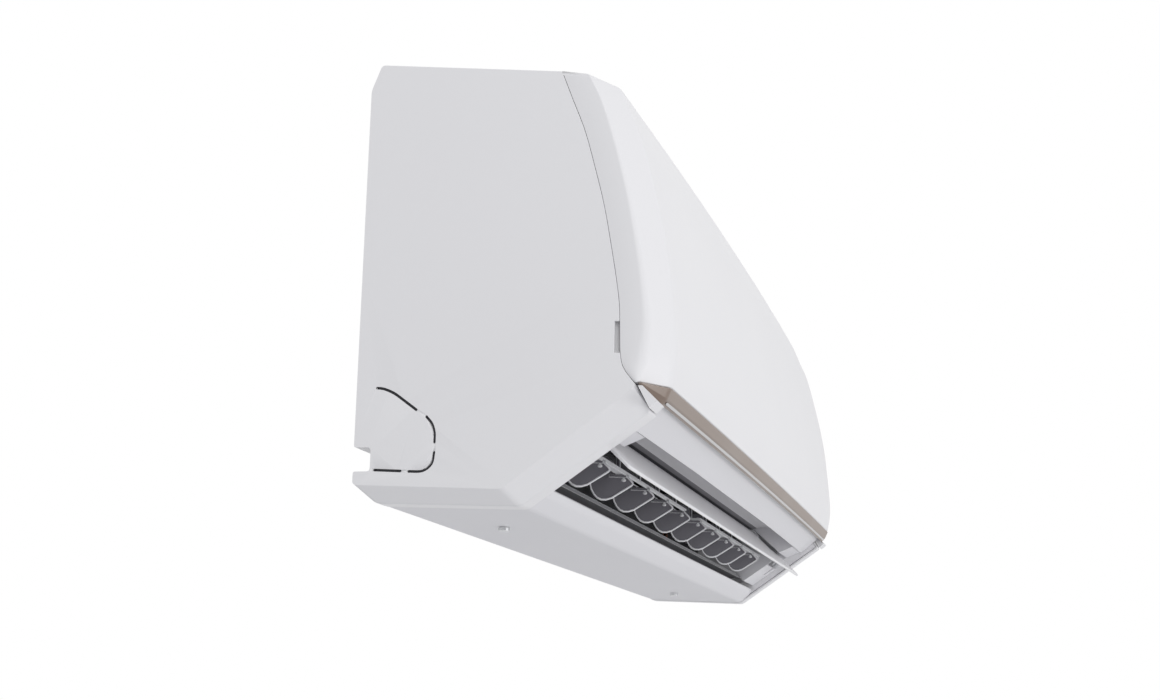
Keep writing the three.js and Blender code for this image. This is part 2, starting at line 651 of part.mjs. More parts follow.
function crossFlowFan() {
  const [d, h] = FAN_CENTRE;
  const length = FAN_RIGHT - FAN_LEFT;
  const discs = [FAN_LEFT, FAN_LEFT + length / 3, FAN_LEFT + (length * 2) / 3, FAN_RIGHT - 3].map((x) =>
    shaft(x, x + 3, FAN_CENTRE, FAN_RADIUS, 30),
  );
  const blades = Array.from({ length: FAN_BLADES }, (_, i) => {
    const turn = (360 / FAN_BLADES) * i;
    const path = [polar([d, h], FAN_RADIUS - 0.6, turn), polar([d, h], FAN_RADIUS - 5.5, turn + 4),
      polar([d, h], FAN_RADIUS - 10, turn + 12)];
    return prism(strip(path, FAN_BLADE_THICK), FAN_LEFT + 1, FAN_RIGHT - 1);
  });
  const shafts = [
    shaft(FAN_LEFT - 11, FAN_LEFT + 1, FAN_CENTRE, FAN_SHAFT_RADIUS, 16),
    shaft(FAN_RIGHT - 1, FAN_RIGHT + 26, FAN_CENTRE, FAN_SHAFT_RADIUS, 16),
  ];
  return join(...discs, ...blades, ...shafts);
}

function fanBearing() {
  const body = shaft(FAN_LEFT - 9.2, FAN_LEFT - 4, FAN_CENTRE, 11, 20);
  return cut(body, shaft(FAN_LEFT - 12, FAN_LEFT, FAN_CENTRE, FAN_SHAFT_RADIUS + GAP, 16));
}

const MOTOR_LEFT = DUCT_RIGHT + WALL + 3;

function fanMotor() {
  const body = shaft(MOTOR_LEFT, MOTOR_LEFT + FAN_MOTOR_LENGTH, FAN_CENTRE, FAN_MOTOR_RADIUS, 32);
  return cut(body, shaft(MOTOR_LEFT - 1, MOTOR_LEFT + 18, FAN_CENTRE, FAN_SHAFT_RADIUS + GAP, 16));
}

function motorClamp() {
  const [left, right] = [MOTOR_LEFT + 14, MOTOR_LEFT + 30];
  const ring = shaft(left, right, FAN_CENTRE, FAN_MOTOR_RADIUS + 2.4, 32);
  const foot = box(left, right, 8, 60, 100, 128);
  return cut(join(ring, foot), shaft(left - 1, right + 1, FAN_CENTRE, FAN_MOTOR_RADIUS + GAP, 32));
}

// ---------- chassis and wall plate ----------

function scrollPath() {
  return Array.from({ length: 15 }, (_, i) => {
    const share = i / 14;
    return polar(FAN_CENTRE, 48 + 51.5 * share ** 1.5, 148 + 142.6 * share);
  });
}

const CHASSIS_HALF = BODY_HALF - 3.6;

function rearChassis() {
  const backPlate = box(-CHASSIS_HALF, CHASSIS_HALF, 3.4, 6, 66, up(268));
  const scroll = prism(strip(scrollPath(), -WALL), -CHASSIS_HALF, DUCT_RIGHT - GAP);
  const hook = box(-CHASSIS_HALF, DUCT_RIGHT, 5, 44, 137, 139.6);
  const ribPitch = (CHASSIS_HALF - 108) / 3;
  const ribs = [-3, -1, 1, 3].map((i) => box(i * ribPitch, i * ribPitch + WALL, 5, 34, 72, 138));
  const wallOutline = [[5, 96], [26, 96], [40, 72], [74, 62.6], [97, 66.6], [110, 77], [110, 84], [131, 84],
    [131, up(172)], [5, up(172)]];
  const right = cut(
    prism(wallOutline, DUCT_RIGHT, DUCT_RIGHT + WALL),
    shaft(DUCT_RIGHT - 1, DUCT_RIGHT + WALL + 1, FAN_CENTRE, FAN_SHAFT_RADIUS + 3, 20),
  );
  const left = cut(
    prism(wallOutline, -BODY_HALF, DUCT_LEFT + 1),
    shaft(-BODY_HALF - 1, DUCT_LEFT + 2, FAN_CENTRE, FAN_SHAFT_RADIUS + 1, 20),
  );
  const whole = join(backPlate, scroll, hook, ...ribs, right, left);
  const frameRoom = box(-HALF, HALF, 74, 140, 0, 77.8);
  return cut(whole, frameRoom.intersect(join(box(-HALF, DUCT_LEFT + 2, 0, 200, 0, 79.4),
    box(DUCT_RIGHT - 0.2, HALF, 0, 200, 0, 79.4))));
}

function mountingPlate() {
  const low = PLATE_CENTRE_HEIGHT - PLATE_HEIGHT / 2;
  const plate = box(-PLATE_LENGTH / 2, PLATE_LENGTH / 2, 0, PLATE_THICK, low, low + PLATE_HEIGHT);
  const holes = [];
  for (const x of [-1, -0.5, 0.5, 1].map((share) => share * (PLATE_LENGTH / 2 - 30))) {
    for (const h of [low + 20, low + PLATE_HEIGHT - 20]) {
      holes.push(bar([x, -1, h], [x, PLATE_THICK + 1, h], 2.6, 12));
    }
  }
  const windows = [-1, 1].map((side) => {
    const x = side * (PLATE_LENGTH / 2 - 75);
    return box(x - 30, x + 30, -1, PLATE_THICK + 1, PLATE_CENTRE_HEIGHT - 18, PLATE_CENTRE_HEIGHT + 18);
  });
  const tabs = [-1, 1].map((side) => {
    const x = side * (PLATE_LENGTH / 2 - 60);
    return box(x - 12, x + 12, PLATE_THICK - 0.2, 2.8, low + PLATE_HEIGHT - 9, low + PLATE_HEIGHT);
  });
  return join(cut(plate, ...holes, ...windows), ...tabs);
}

// ---------- heat exchanger ----------

// A slab of fins about a centre line.
function slabOutline([from, to], thickness) {
  const along = new THREE.Vector2(to[0] - from[0], to[1] - from[1]).normalize();
  const [nd, nh] = [(along.y * thickness) / 2, (-along.x * thickness) / 2];
  return [[from[0] + nd, from[1] + nh], [to[0] + nd, to[1] + nh], [to[0] - nd, to[1] - nh],
    [from[0] - nd, from[1] - nh]];
}

const coilSlab = (line) => prism(slabOutline(line, COIL_THICK), COIL_LEFT, COIL_RIGHT);

function coilEnd(side) {
  const near = side > 0 ? COIL_RIGHT + GAP : COIL_LEFT - GAP - COIL_PLATE;
  const plates = [COIL_LOWER, COIL_UPPER, COIL_BACK].map((line) =>
    prism(slabOutline(line, COIL_THICK + 1), near, near + COIL_PLATE),
  );
  const bridges = [
    prism(slabOutline([COIL_LOWER[1], COIL_UPPER[0]], 12), near, near + COIL_PLATE),
    prism(slabOutline([COIL_UPPER[1], COIL_BACK[0]], 12), near, near + COIL_PLATE),
  ];
  const bends = [COIL_LOWER, COIL_UPPER, COIL_BACK].flatMap(([a, b]) =>
    [0.25, 0.5].map((share) => returnBend(
      side > 0 ? near + COIL_PLATE - 0.3 : near + 0.3, side,
      [a[0] + (b[0] - a[0]) * share, a[1] + (b[1] - a[1]) * share],
    )),
  );
  return join(...plates, ...bridges, ...bends);
}

// Half a turn of tube standing out of an end plate.
function returnBend(x, side, [d, h]) {
  const radius = 5;
  const route = [[x, d, h - radius], [x + side * 4, d, h - radius + 1.2], [x + side * 5.5, d, h],
    [x + side * 4, d, h + radius - 1.2], [x, d, h + radius]];
  return tube(route, 2.4, 8, 8);
}

// ---------- pipes, drain and filters ----------

function pipe(depth, radius, drop) {
  const level = 36 + drop;
  return tube(
    [[COIL_RIGHT + 11, depth + 28 - drop / 7, up(188 + drop)], [HALF - 62.5, depth + 24, up(184 + drop)],
      [HALF - 41.5, depth + 6, up(158)], [HALF - 41.5, depth, up(130)], [HALF - 41.5, depth, 80],
      [HALF - 52.5, depth, level + 10], [HALF - 82.5, depth, level], [HALF - 118.5, depth, level],
      [PIPE_END, depth, level]],
    radius, 8, 30,
  );
}

function flareNut(depth, radius, drop) {
  const body = shaft(PIPE_END - 22, PIPE_END - GAP, [depth, 36 + drop], radius * 1.9, 6);
  return cut(body, shaft(PIPE_END - 23, PIPE_END - 12, [depth, 36 + drop], radius, 12));
}

function drainPan() {
  const channel = [[126, 79.6], [161, 79.6], [163.4, 93], [161.4, 93], [159.2, 81.8], [128, 81.8],
    [127.4, 85], [125.6, 85]];
  const wall = [[126.4, 79.8], [160.8, 79.8], [162.6, 92], [155, 92], [152, 85], [127, 84]];
  const [left, right] = [DUCT_LEFT + 8.6, DUCT_RIGHT - 1.8];
  return join(prism(channel, left, right), prism(wall, left, left + 2), prism(wall, right - 2, right));
}

function drainHose() {
  return tube(
    [[34.9 - HALF, 144, 88], [24.5 - HALF, 142, 87.5], [19.1 - HALF, 126, 76], [19.1 - HALF, 88, 44],
      [19.1 - HALF, 56, 24], [24.5 - HALF, 34, 15], [46.5 - HALF, 24, 13], [108.5 - HALF, 22, 13]],
    HOSE_RADIUS, 8, 28,
  );
}

function filterSpan(side) {
  return span(side, FILTER_MIDDLE_GAP, FILTER_MIDDLE_GAP + FILTER_WIDTH);
}

function alongFilter(share) {
  return FILTER_FOOT.map((foot, i) => foot + (FILTER_HEAD[i] - foot) * share);
}

function airFilter(side) {
  const [left, right] = filterSpan(side);
  let frame = prism(slabOutline([FILTER_FOOT, FILTER_HEAD], FILTER_THICK), left, right);
  const columns = 4;
  const pitch = FILTER_WIDTH / columns;
  for (let c = 0; c < columns; c++) {
    for (const [from, to] of [[0.03, 0.34], [0.355, 0.655], [0.67, 0.97]]) {
      const opening = slabOutline([alongFilter(from), alongFilter(to)], 8);
      frame = frame.subtract(prism(opening, left + c * pitch + 4, left + (c + 1) * pitch - 4));
    }
  }
  return frame;
}

function filterGuide() {
  const half = FILTER_MIDDLE_GAP - 1;
  return prism(slabOutline([alongFilter(0.02), alongFilter(0.985)], 5), -half, half);
}

// ---------- electrics ----------

function controlBox() {
  const body = box(BAY_MIDDLE - 23, BAY_MIDDLE + 23, 68, 120, up(164), up(232));
  return cut(body, box(BAY_MIDDLE - 21, BAY_MIDDLE + 21, 70, 126, up(164) + 2, up(232) - 2));
}

const circuitBoard = () => box(BAY_MIDDLE - 19, BAY_MIDDLE + 19, 98, 99.6, up(164) + 4, up(232) - 4);

function terminalBlock() {
  const body = box(BAY_MIDDLE - 19, BAY_MIDDLE + 19, 131, 147, 98, 120);
  const bays = [-13.5, -4.5, 4.5, 13.5].map((set) => BAY_MIDDLE + set).map((x) =>
    box(x - 3, x + 3, 141, 149, 101, 117));
  return cut(body, ...bays);
}

const terminalCover = () => box(BAY_MIDDLE - 22, BAY_MIDDLE + 22, 147.4, 149, 96, 124);

function displayModule() {
  const body = box(BUTTON_AT - 50, BUTTON_AT + 10, 164, 172.4, 80, 92);
  return cut(body, box(BUTTON_AT - 3.4, BUTTON_AT + 3.4, 168, 173, 82.6, 89.4));
}

const emergencyButton = () => bar([BUTTON_AT, 169.9, 86], [BUTTON_AT, 174, 86], 3, 16);

const roomSensor = () => bar([BUTTON_AT - 10, 156, 96], [BUTTON_AT - 10, 156, 116], 2.4, 10);

// ---------- the whole unit ----------

piece('mounting_plate', mountingPlate(), STEEL);
piece('rear_chassis', rearChassis(), GREY_WHITE);
piece('side_cover_left', sideCover(-1), WHITE);
piece('side_cover_right', sideCover(1), WHITE);
piece('top_grille', topGrille(), WHITE);
piece('bottom_cover', bottomCover(), GREY_WHITE);
piece('outlet_frame', outletFrame(), GREY_WHITE);
piece('chin_end_left', chinEnd(-1), WHITE);
piece('chin_end_right', chinEnd(1), WHITE);
piece('front_panel', frontPanel(), WHITE);
piece('trim_strip', trimStrip(), BEIGE);
piece('trim_inlay', trimInlay(), WHITE);
piece('louvre', louvreBlade(), WHITE);
piece('louvre_arm_left', louvreArm(-1), WHITE);
piece('louvre_arm_right', louvreArm(1), WHITE);
piece('louvre_motor', louvreMotor(), STEEL);
vaneAxes.forEach((x, i) => piece(`vane_${i + 1}`, vane(x), DARK));
piece('vane_crank_left', crank(CRANK_LEFT), WHITE);
piece('vane_crank_right', crank(CRANK_RIGHT), WHITE);
piece('vane_motor_left', vaneMotor(CRANK_LEFT), STEEL);
piece('vane_motor_right', vaneMotor(CRANK_RIGHT), STEEL);
piece('vane_link_left', link([CRANK_LEFT, ...vaneAxes.slice(0, VANE_COUNT / 2)]), WHITE);
piece('vane_link_right', link([...vaneAxes.slice(VANE_COUNT / 2), CRANK_RIGHT]), WHITE);
piece('cross_flow_fan', crossFlowFan(), BLACK);
piece('fan_bearing', fanBearing(), BLACK);
piece('fan_motor', fanMotor(), STEEL);
piece('motor_clamp', motorClamp(), GREY_WHITE);
piece('coil_lower', coilSlab(COIL_LOWER), FIN);
piece('coil_upper', coilSlab(COIL_UPPER), FIN);
piece('coil_back', coilSlab(COIL_BACK), FIN);
piece('coil_end_left', coilEnd(-1), COPPER);
piece('coil_end_right', coilEnd(1), COPPER);
piece('gas_pipe', pipe(18, GAS_PIPE_RADIUS, 8), FOAM);
piece('liquid_pipe', pipe(30, LIQUID_PIPE_RADIUS, -6), COPPER);
piece('gas_flare_nut', flareNut(18, GAS_PIPE_RADIUS, 8), BRASS);
piece('liquid_flare_nut', flareNut(30, LIQUID_PIPE_RADIUS, -6), BRASS);
piece('drain_pan', drainPan(), GREY_WHITE);
piece('drain_hose', drainHose(), GREY_WHITE);
piece('filter_left', airFilter(-1), FOAM);
piece('filter_right', airFilter(1), FOAM);
piece('filter_guide', filterGuide(), GREY_WHITE);
piece('control_box', controlBox(), GREY_WHITE);
piece('circuit_board', circuitBoard(), BOARD);
piece('terminal_block', terminalBlock(), BLACK);
piece('terminal_cover', terminalCover(), GREY_WHITE);
piece('display_module', displayModule(), BLACK);
piece('emergency_button', emergencyButton(), GREY_WHITE);
piece('room_sensor', roomSensor(), COPPER);
piece('casing_screw_left', casingScrew(-1), STEEL);
piece('casing_screw_right', casingScrew(1), STEEL);

export default model;
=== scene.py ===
"""Looks of a wall-mounted air conditioner's indoor unit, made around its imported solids.

Metres, +Z up. X runs along the unit, the wall is the plane y = 0 and the front faces -Y.
Profiles are written as (depth, height) in millimetres. Depth is counted from the wall, and height from the
back bottom edge.
"""

import json

import bmesh
import bpy
import numpy as np
from mathutils import Euler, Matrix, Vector
from mathutils.geometry import delaunay_2d_cdt

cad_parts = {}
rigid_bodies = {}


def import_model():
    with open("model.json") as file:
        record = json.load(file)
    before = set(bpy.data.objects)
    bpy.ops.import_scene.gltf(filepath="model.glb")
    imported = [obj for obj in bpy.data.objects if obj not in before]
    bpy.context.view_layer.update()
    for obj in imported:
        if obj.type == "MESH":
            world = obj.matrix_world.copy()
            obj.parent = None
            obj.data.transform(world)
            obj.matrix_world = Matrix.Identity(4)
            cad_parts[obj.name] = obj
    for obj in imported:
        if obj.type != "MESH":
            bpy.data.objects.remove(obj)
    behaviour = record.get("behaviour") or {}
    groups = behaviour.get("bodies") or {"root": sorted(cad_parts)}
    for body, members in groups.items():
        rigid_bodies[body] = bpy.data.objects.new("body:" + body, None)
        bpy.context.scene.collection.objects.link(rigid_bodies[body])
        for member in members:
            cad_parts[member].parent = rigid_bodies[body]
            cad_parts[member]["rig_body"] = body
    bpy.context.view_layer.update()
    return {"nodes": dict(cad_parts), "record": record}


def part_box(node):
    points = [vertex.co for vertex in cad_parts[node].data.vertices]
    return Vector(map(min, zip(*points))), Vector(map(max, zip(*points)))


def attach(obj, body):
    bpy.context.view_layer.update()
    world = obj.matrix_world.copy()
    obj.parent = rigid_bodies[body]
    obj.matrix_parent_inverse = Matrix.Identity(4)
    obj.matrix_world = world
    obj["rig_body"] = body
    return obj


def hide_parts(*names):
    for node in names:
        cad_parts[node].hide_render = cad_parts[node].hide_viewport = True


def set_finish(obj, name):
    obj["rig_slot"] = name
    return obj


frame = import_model()

MM = 0.001
UNIT_HEIGHT = 292
BACK_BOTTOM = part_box("side_cover_left")[1].z / MM - UNIT_HEIGHT  # where height zero lies in the frame
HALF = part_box("front_panel")[1].x / MM  # half the unit's length
SIDES = {-1: "left", 1: "right"}
CHEEK = 22.0  # width of the slanted cheek at each end of the panel
CREASE = HALF - CHEEK
PANEL_BOW = 4.97  # a hair less than the solid's, so that the skin stays inside its box
FOOT_BOW = 2.0
FOOT_HEIGHT = 73.2
PANEL_BOW_HEIGHT = 125  # from here up the panel has its full bow
NO_BOW_DEPTH = 128.0  # up to this depth, near the seam, nothing bows
FULL_BOW_DEPTH = 172.0
JOINT_GAP = 0.4  # between a part and the one it meets
SHARP_FROM = 28.0  # degrees at which an edge of a copied solid is rounded
FLAT_WITHIN = 1.0  # degrees within which faces of a copied solid become one
MERGE_GAP = 1e-6  # metres within which two vertices are one


# ---------- surfaces ----------


def place(x, depth, height):
    """Positions in the frame, in metres, from x, depth and height in millimetres."""
    x, depth, height = np.broadcast_arrays(x, depth, height)
    return np.stack([x, -depth, height + BACK_BOTTOM], -1).astype(float) * MM


def mesh_piece(name, vertices, faces, body, slot, replaced=()):
    """A finished piece from vertex positions in metres and faces."""
    mesh = bpy.data.meshes.new(name)
    points = np.asarray(vertices, float).reshape(-1, 3).tolist()
    mesh.from_pydata(points, [], [list(map(int, f)) for f in faces])
    tidy(mesh)
    mesh.polygons.foreach_set("use_smooth", np.full(len(mesh.polygons), True))
    piece = bpy.data.objects.new(name, mesh)
    bpy.context.scene.collection.objects.link(piece)
    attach(piece, body)
    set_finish(piece, slot)
    if replaced:
        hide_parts(*([replaced] if isinstance(replaced, str) else replaced))
    return piece


def tidy(mesh):
    """Joins doubled vertices, drops collapsed faces and turns every face outward."""
    shape = bmesh.new()
    shape.from_mesh(mesh)
    bmesh.ops.remove_doubles(shape, verts=shape.verts, dist=MERGE_GAP)
    bmesh.ops.dissolve_degenerate(shape, edges=shape.edges, dist=MERGE_GAP)
    bmesh.ops.recalc_face_normals(shape, faces=shape.faces)
    middle = sum((v.co for v in shape.verts), Vector()) / len(shape.verts)
    outward = sum(f.normal.dot(f.calc_center_median() - middle) * f.calc_area() for f in shape.faces)
    if outward < 0:
        bmesh.ops.reverse_faces(shape, faces=shape.faces)
    shape.to_mesh(mesh)
    shape.free()


def grid_faces(rows, columns, wrap_columns=False):
    """Quads over a grid of vertices, each row closed into a ring where asked."""
    r = np.arange(rows - 1)
    c = np.arange(columns if wrap_columns else columns - 1)
    r, c = np.meshgrid(r, c, indexing="ij")
    r2, c2 = r + 1, (c + 1) % columns
    quads = np.stack([r * columns + c, r * columns + c2, r2 * columns + c2, r2 * columns + c], -1)
    return quads.reshape(-1, 4).tolist()


def rounded_path(corners, radii, steps=4):
    """Corners joined by straight lines, each turned by a quadratic curve that starts its radius away.

    corners is (k, ..., 3); the curve is a*(1-t)^2 + 2*b*t*(1-t) + c*t^2 with b the corner.
    """
    corners = np.asarray(corners, float)
    out = [corners[0][None]]
    for i in range(1, len(corners) - 1):
        if np.max(radii[i]) <= 0:
            out.append(corners[i][None])
            continue
        before, after = corners[i - 1] - corners[i], corners[i + 1] - corners[i]
        reach_before = np.linalg.norm(before, axis=-1, keepdims=True) + 1e-12
        reach_after = np.linalg.norm(after, axis=-1, keepdims=True) + 1e-12
        set_back = np.minimum(radii[i], 0.45 * np.minimum(reach_before, reach_after))
        a = corners[i] + before / reach_before * set_back
        c = corners[i] + after / reach_after * set_back
        t = np.linspace(0, 1, steps + 1).reshape((-1,) + (1,) * corners[i].ndim)
        out.append(a * (1 - t) ** 2 + 2 * corners[i] * t * (1 - t) + c * t**2)
    out.append(corners[-1][None])
    return np.concatenate(out)


def spline(points, count):
    """A Catmull-Rom curve through 2-D points, sampled evenly along its length."""
    points = np.asarray(points, float)
    padded = np.vstack([2 * points[0] - points[1], points, 2 * points[-1] - points[-2]])
    t = np.linspace(0, 1, 24, endpoint=False)[None, :, None]
    p0, p1, p2, p3 = (padded[i : len(padded) - 3 + i, None] for i in range(4))
    squared, cubed = 2 * p0 - 5 * p1 + 4 * p2 - p3, 3 * p1 - p0 - 3 * p2 + p3
    curve = 0.5 * (2 * p1 + (p2 - p0) * t + squared * t**2 + cubed * t**3)
    curve = np.vstack([curve.reshape(-1, points.shape[1]), points[-1]])
    run = np.concatenate([[0], np.cumsum(np.linalg.norm(np.diff(curve, axis=0), axis=1))])
    at = np.linspace(0, run[-1], count)
    return np.stack([np.interp(at, run, curve[:, k]) for k in range(points.shape[1])], -1)


def panel_bow(height):
    """The panel's bow in its middle: FOOT_BOW at the foot, growing evenly to PANEL_BOW higher up."""
    share = np.clip((height - FOOT_HEIGHT) / (PANEL_BOW_HEIGHT - FOOT_HEIGHT), 0, 1)
    return FOOT_BOW + (PANEL_BOW - FOOT_BOW) * share


def bowed(depth, x, amount):
    """Depths pushed out by amount * (1 - (x/crease)^2), which grows from the seam to the front."""
    across = np.clip(1 - (np.asarray(x) / CREASE) ** 2, 0, None)
    return depth + amount * across * np.clip((depth - NO_BOW_DEPTH) / (FULL_BOW_DEPTH - NO_BOW_DEPTH), 0, 1)


def modifier(piece, kind, name, **values):
    """Adds one modifier with these settings."""
    added = piece.modifiers.new(name, kind)
    for key, value in values.items():
        setattr(added, key, value)
    return added


def even_normals(piece):
    """Shades flat faces flat and leaves the turning to the rounded edges."""
    modifier(piece, "WEIGHTED_NORMAL", "even_normals", weight=80, keep_sharp=True,
             mode="FACE_AREA_WITH_ANGLE")


def softened(node, slot, width):
    """A merged copy of a solid with its edges rounded; it stands for the solid."""
    source = frame["nodes"][node]
    shape = bmesh.new()
    shape.from_mesh(source.data)
    bmesh.ops.remove_doubles(shape, verts=shape.verts, dist=2 * MERGE_GAP)
    bmesh.ops.dissolve_limit(shape, angle_limit=np.radians(FLAT_WITHIN), verts=shape.verts,
                             edges=shape.edges)
    mesh = bpy.data.meshes.new(node + "_soft")
    shape.to_mesh(mesh)
    shape.free()
    mesh.polygons.foreach_set("use_smooth", np.full(len(mesh.polygons), True))
    piece = bpy.data.objects.new(node + "_soft", mesh)
    bpy.context.scene.collection.objects.link(piece)
    modifier(piece, "BEVEL", "soft_edges", width=width * MM, segments=2, limit_method="ANGLE",
             angle_limit=np.radians(SHARP_FROM), miter_outer="MITER_ARC")
    even_normals(piece)
    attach(piece, source["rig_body"])
    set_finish(piece, slot)
    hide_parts(node)
    return piece


# ---------- materials ----------


def node_group(name, inputs, outputs):
    """A node group with named sockets, and its input and output nodes."""
    tree = bpy.data.node_groups.new(name, "ShaderNodeTree")
    for side, sockets in (("INPUT", inputs), ("OUTPUT", outputs)):
        for label, value in sockets.items():
            kind = "NodeSocketColor" if label == "Colour" else "NodeSocketFloat"
            made = tree.interface.new_socket(label, in_out=side, socket_type=kind)
            if value is not None:
                made.default_value = value
    return tree, tree.nodes.new("NodeGroupInput"), tree.nodes.new("NodeGroupOutput")


def fill(tree, node, values):
    """Sets a node's inputs: a number or a tuple is its value, a socket is linked to it."""
    for key, value in values.items():
        if isinstance(value, bpy.types.NodeSocket):
            tree.links.new(value, node.inputs[key])
        else:
            node.inputs[key].default_value = value


def made_node(tree, kind, values, operation=None):
    """The first output of a new node with these inputs."""
    node = tree.nodes.new(kind)
    if operation:
        node.operation = operation
    fill(tree, node, values)
    return node.outputs[0]


def math_node(tree, operation, *values):
    """The result of a math node."""
    return made_node(tree, "ShaderNodeMath", dict(enumerate(values)), operation)


def object_place(tree):
    """The place on the object, in metres."""
    return tree.nodes.new("ShaderNodeTexCoord").outputs["Object"]


def noise(tree, where, scale, detail):
    """A noise value at a place."""
    return made_node(tree, "ShaderNodeTexNoise", {"Vector": where, "Scale": scale, "Detail": detail})


METAL_RELIEF = 0.002  # millimetres
SKIN_OUTPUTS = {"Colour": None, "Roughness": None, "Height": None}


def finish_skin(tree, given, out, tone, rough, height):
    """Sends out the given colour times the tone, the roughness and the height."""
    shade = made_node(tree, "ShaderNodeVectorMath", {0: given.outputs["Colour"], "Scale": tone}, "SCALE")
    fill(tree, out, {"Colour": shade, "Roughness": rough, "Height": height})


def moulded_skin_group():
    """Fine moulded grain: a height, and a roughness and tone that wander slowly over the surface."""
    tree, given, out = node_group("moulded_skin", {"Colour": (0.8, 0.8, 0.8, 1), "Roughness": 0.4,
                                                   "Grain size": 0.0008, "Tone change": 0.02}, SKIN_OUTPUTS)
    where = object_place(tree)
    grain = noise(tree, where, math_node(tree, "DIVIDE", 1.0, given.outputs["Grain size"]), 3.0)
    centred = math_node(tree, "SUBTRACT", noise(tree, where, 9.0, 2.0), 0.5)
    tone = math_node(tree, "MULTIPLY_ADD", centred, given.outputs["Tone change"], 1.0)
    rough = math_node(tree, "MULTIPLY_ADD", centred, 0.12, given.outputs["Roughness"])
    finish_skin(tree, given, out, tone, rough, grain)
    return tree


def brushed_group():
    """Fine lines drawn along X: a tone, a roughness and a height from noise stretched along the unit."""
    tree, given, out = node_group("drawn_lines", {"Colour": (0.6, 0.6, 0.6, 1), "Roughness": 0.35,
                                                  "Strength": 0.1}, SKIN_OUTPUTS)
    stretch = made_node(tree, "ShaderNodeMapping", {"Vector": object_place(tree), "Scale": (12, 900, 900)})
    lines = noise(tree, stretch, 1.0, 4.0)
    centred = math_node(tree, "SUBTRACT", lines, 0.5)
    tone = math_node(tree, "MULTIPLY_ADD", centred, given.outputs["Strength"], 1.0)
    rough = math_node(tree, "MULTIPLY_ADD", centred, given.outputs["Strength"], given.outputs["Roughness"])
    finish_skin(tree, given, out, tone, rough, lines)
    return tree


def finned_group():
    """Thin upright fins along X: a tone and a height from one band of light and dark every 1.6 mm."""
    tree, given, out = node_group("fin_lines", {"Colour": (0.6, 0.6, 0.6, 1), "Roughness": 0.35,
                                                "Strength": 0.5}, SKIN_OUTPUTS)
    wave = tree.nodes.new("ShaderNodeTexWave")
    fill(tree, wave, {"Vector": object_place(tree), "Scale": 196.0, "Distortion": 0.4})
    bands = wave.outputs["Fac"]
    tone = math_node(tree, "MULTIPLY_ADD", bands, given.outputs["Strength"], 0.45)
    rough = math_node(tree, "MULTIPLY_ADD", bands, -0.1, given.outputs["Roughness"])
    finish_skin(tree, given, out, tone, rough, bands)
    return tree


def edge_highlight_group():
    """A mask for painted highlights along edges, from how far the rounded normal leans from the flat one,
    broken up by noise.
    """
    tree, given, out = node_group("worn_edges", {"Width": 0.0006, "Break-up size": 0.004}, {"Mask": None})
    rounded = tree.nodes.new("ShaderNodeBevel")
    rounded.samples = 4
    fill(tree, rounded, {"Radius": given.outputs["Width"]})
    flat = tree.nodes.new("ShaderNodeNewGeometry").outputs["Normal"]
    agree = tree.nodes.new("ShaderNodeVectorMath")
    agree.operation = "DOT_PRODUCT"
    fill(tree, agree, {0: rounded.outputs[0], 1: flat})
    lean = made_node(tree, "ShaderNodeMapRange",
                     {"Value": agree.outputs["Value"], "From Min": 0.995, "From Max": 0.88})
    size = math_node(tree, "DIVIDE", 1.0, given.outputs["Break-up size"])
    patch = noise(tree, object_place(tree), size, 2.0)
    share = made_node(tree, "ShaderNodeMapRange",
                      {"Value": patch, "From Min": 0.3, "From Max": 0.6, "To Min": 0.55})
    fill(tree, out, {"Mask": math_node(tree, "MULTIPLY", lean, share)})
    return tree


MOULDED = moulded_skin_group()
DRAWN = brushed_group()
FINNED = finned_group()
EDGE_HIGHLIGHTS = edge_highlight_group()


def finish_material(name, group, values, bump, metallic=0.0, edge=0.5, **plain):
    """A material whose colour, roughness and bump come from one of the groups, with a painted highlight
    along its edges that goes the share edge of the way to white.
    """
    made = bpy.data.materials.new(name)
    made.use_nodes = True
    tree = made.node_tree
    skin = tree.nodes.new("ShaderNodeGroup")
    skin.node_tree = group
    fill(tree, skin, values)
    # painted highlight: along the edges the mask mixes the colour towards white
    highlight_mask = tree.nodes.new("ShaderNodeGroup")
    highlight_mask.node_tree = EDGE_HIGHLIGHTS
    pale = tree.nodes.new("ShaderNodeMix")
    pale.data_type = "RGBA"
    highlight_colour = tuple(c + (1 - c) * edge for c in values["Colour"][:3]) + (1,)
    fill(tree, pale, {"Factor": highlight_mask.outputs["Mask"], "A": skin.outputs["Colour"], "B": highlight_colour})
    relief = {"Height": skin.outputs["Height"], "Distance": bump * MM, "Strength": 1.0}
    shader = tree.nodes["Principled BSDF"]
    fill(tree, shader, {"Base Color": pale.outputs["Result"], "Roughness": skin.outputs["Roughness"],
                        "Normal": made_node(tree, "ShaderNodeBump", relief), "Metallic": metallic})
    fill(tree, shader, {key.replace("_", " "): value for key, value in plain.items()})
    return made


def plastic(name, colour, roughness, grain=0.8, bump=0.004, tone=0.02, **plain):
    """Moulded plastic with fine grain; colour is linear."""
    values = {"Colour": (*colour, 1), "Roughness": roughness, "Grain size": grain * MM, "Tone change": tone}
    return finish_material(name, MOULDED, values, bump, **plain)


def metal(name, colour, roughness, strength):
    """Drawn or rolled metal with fine lines along the unit."""
    values = {"Colour": (*colour, 1), "Roughness": roughness, "Strength": strength}
    return finish_material(name, DRAWN, values, METAL_RELIEF, metallic=1.0)


FIN_LOOK = {"Colour": (0.62, 0.68, 0.74, 1), "Roughness": 0.35, "Strength": 0.55}
NET_LOOK = {"Colour": (0.16, 0.16, 0.17, 1), "Roughness": 0.6, "Strength": 0.9}

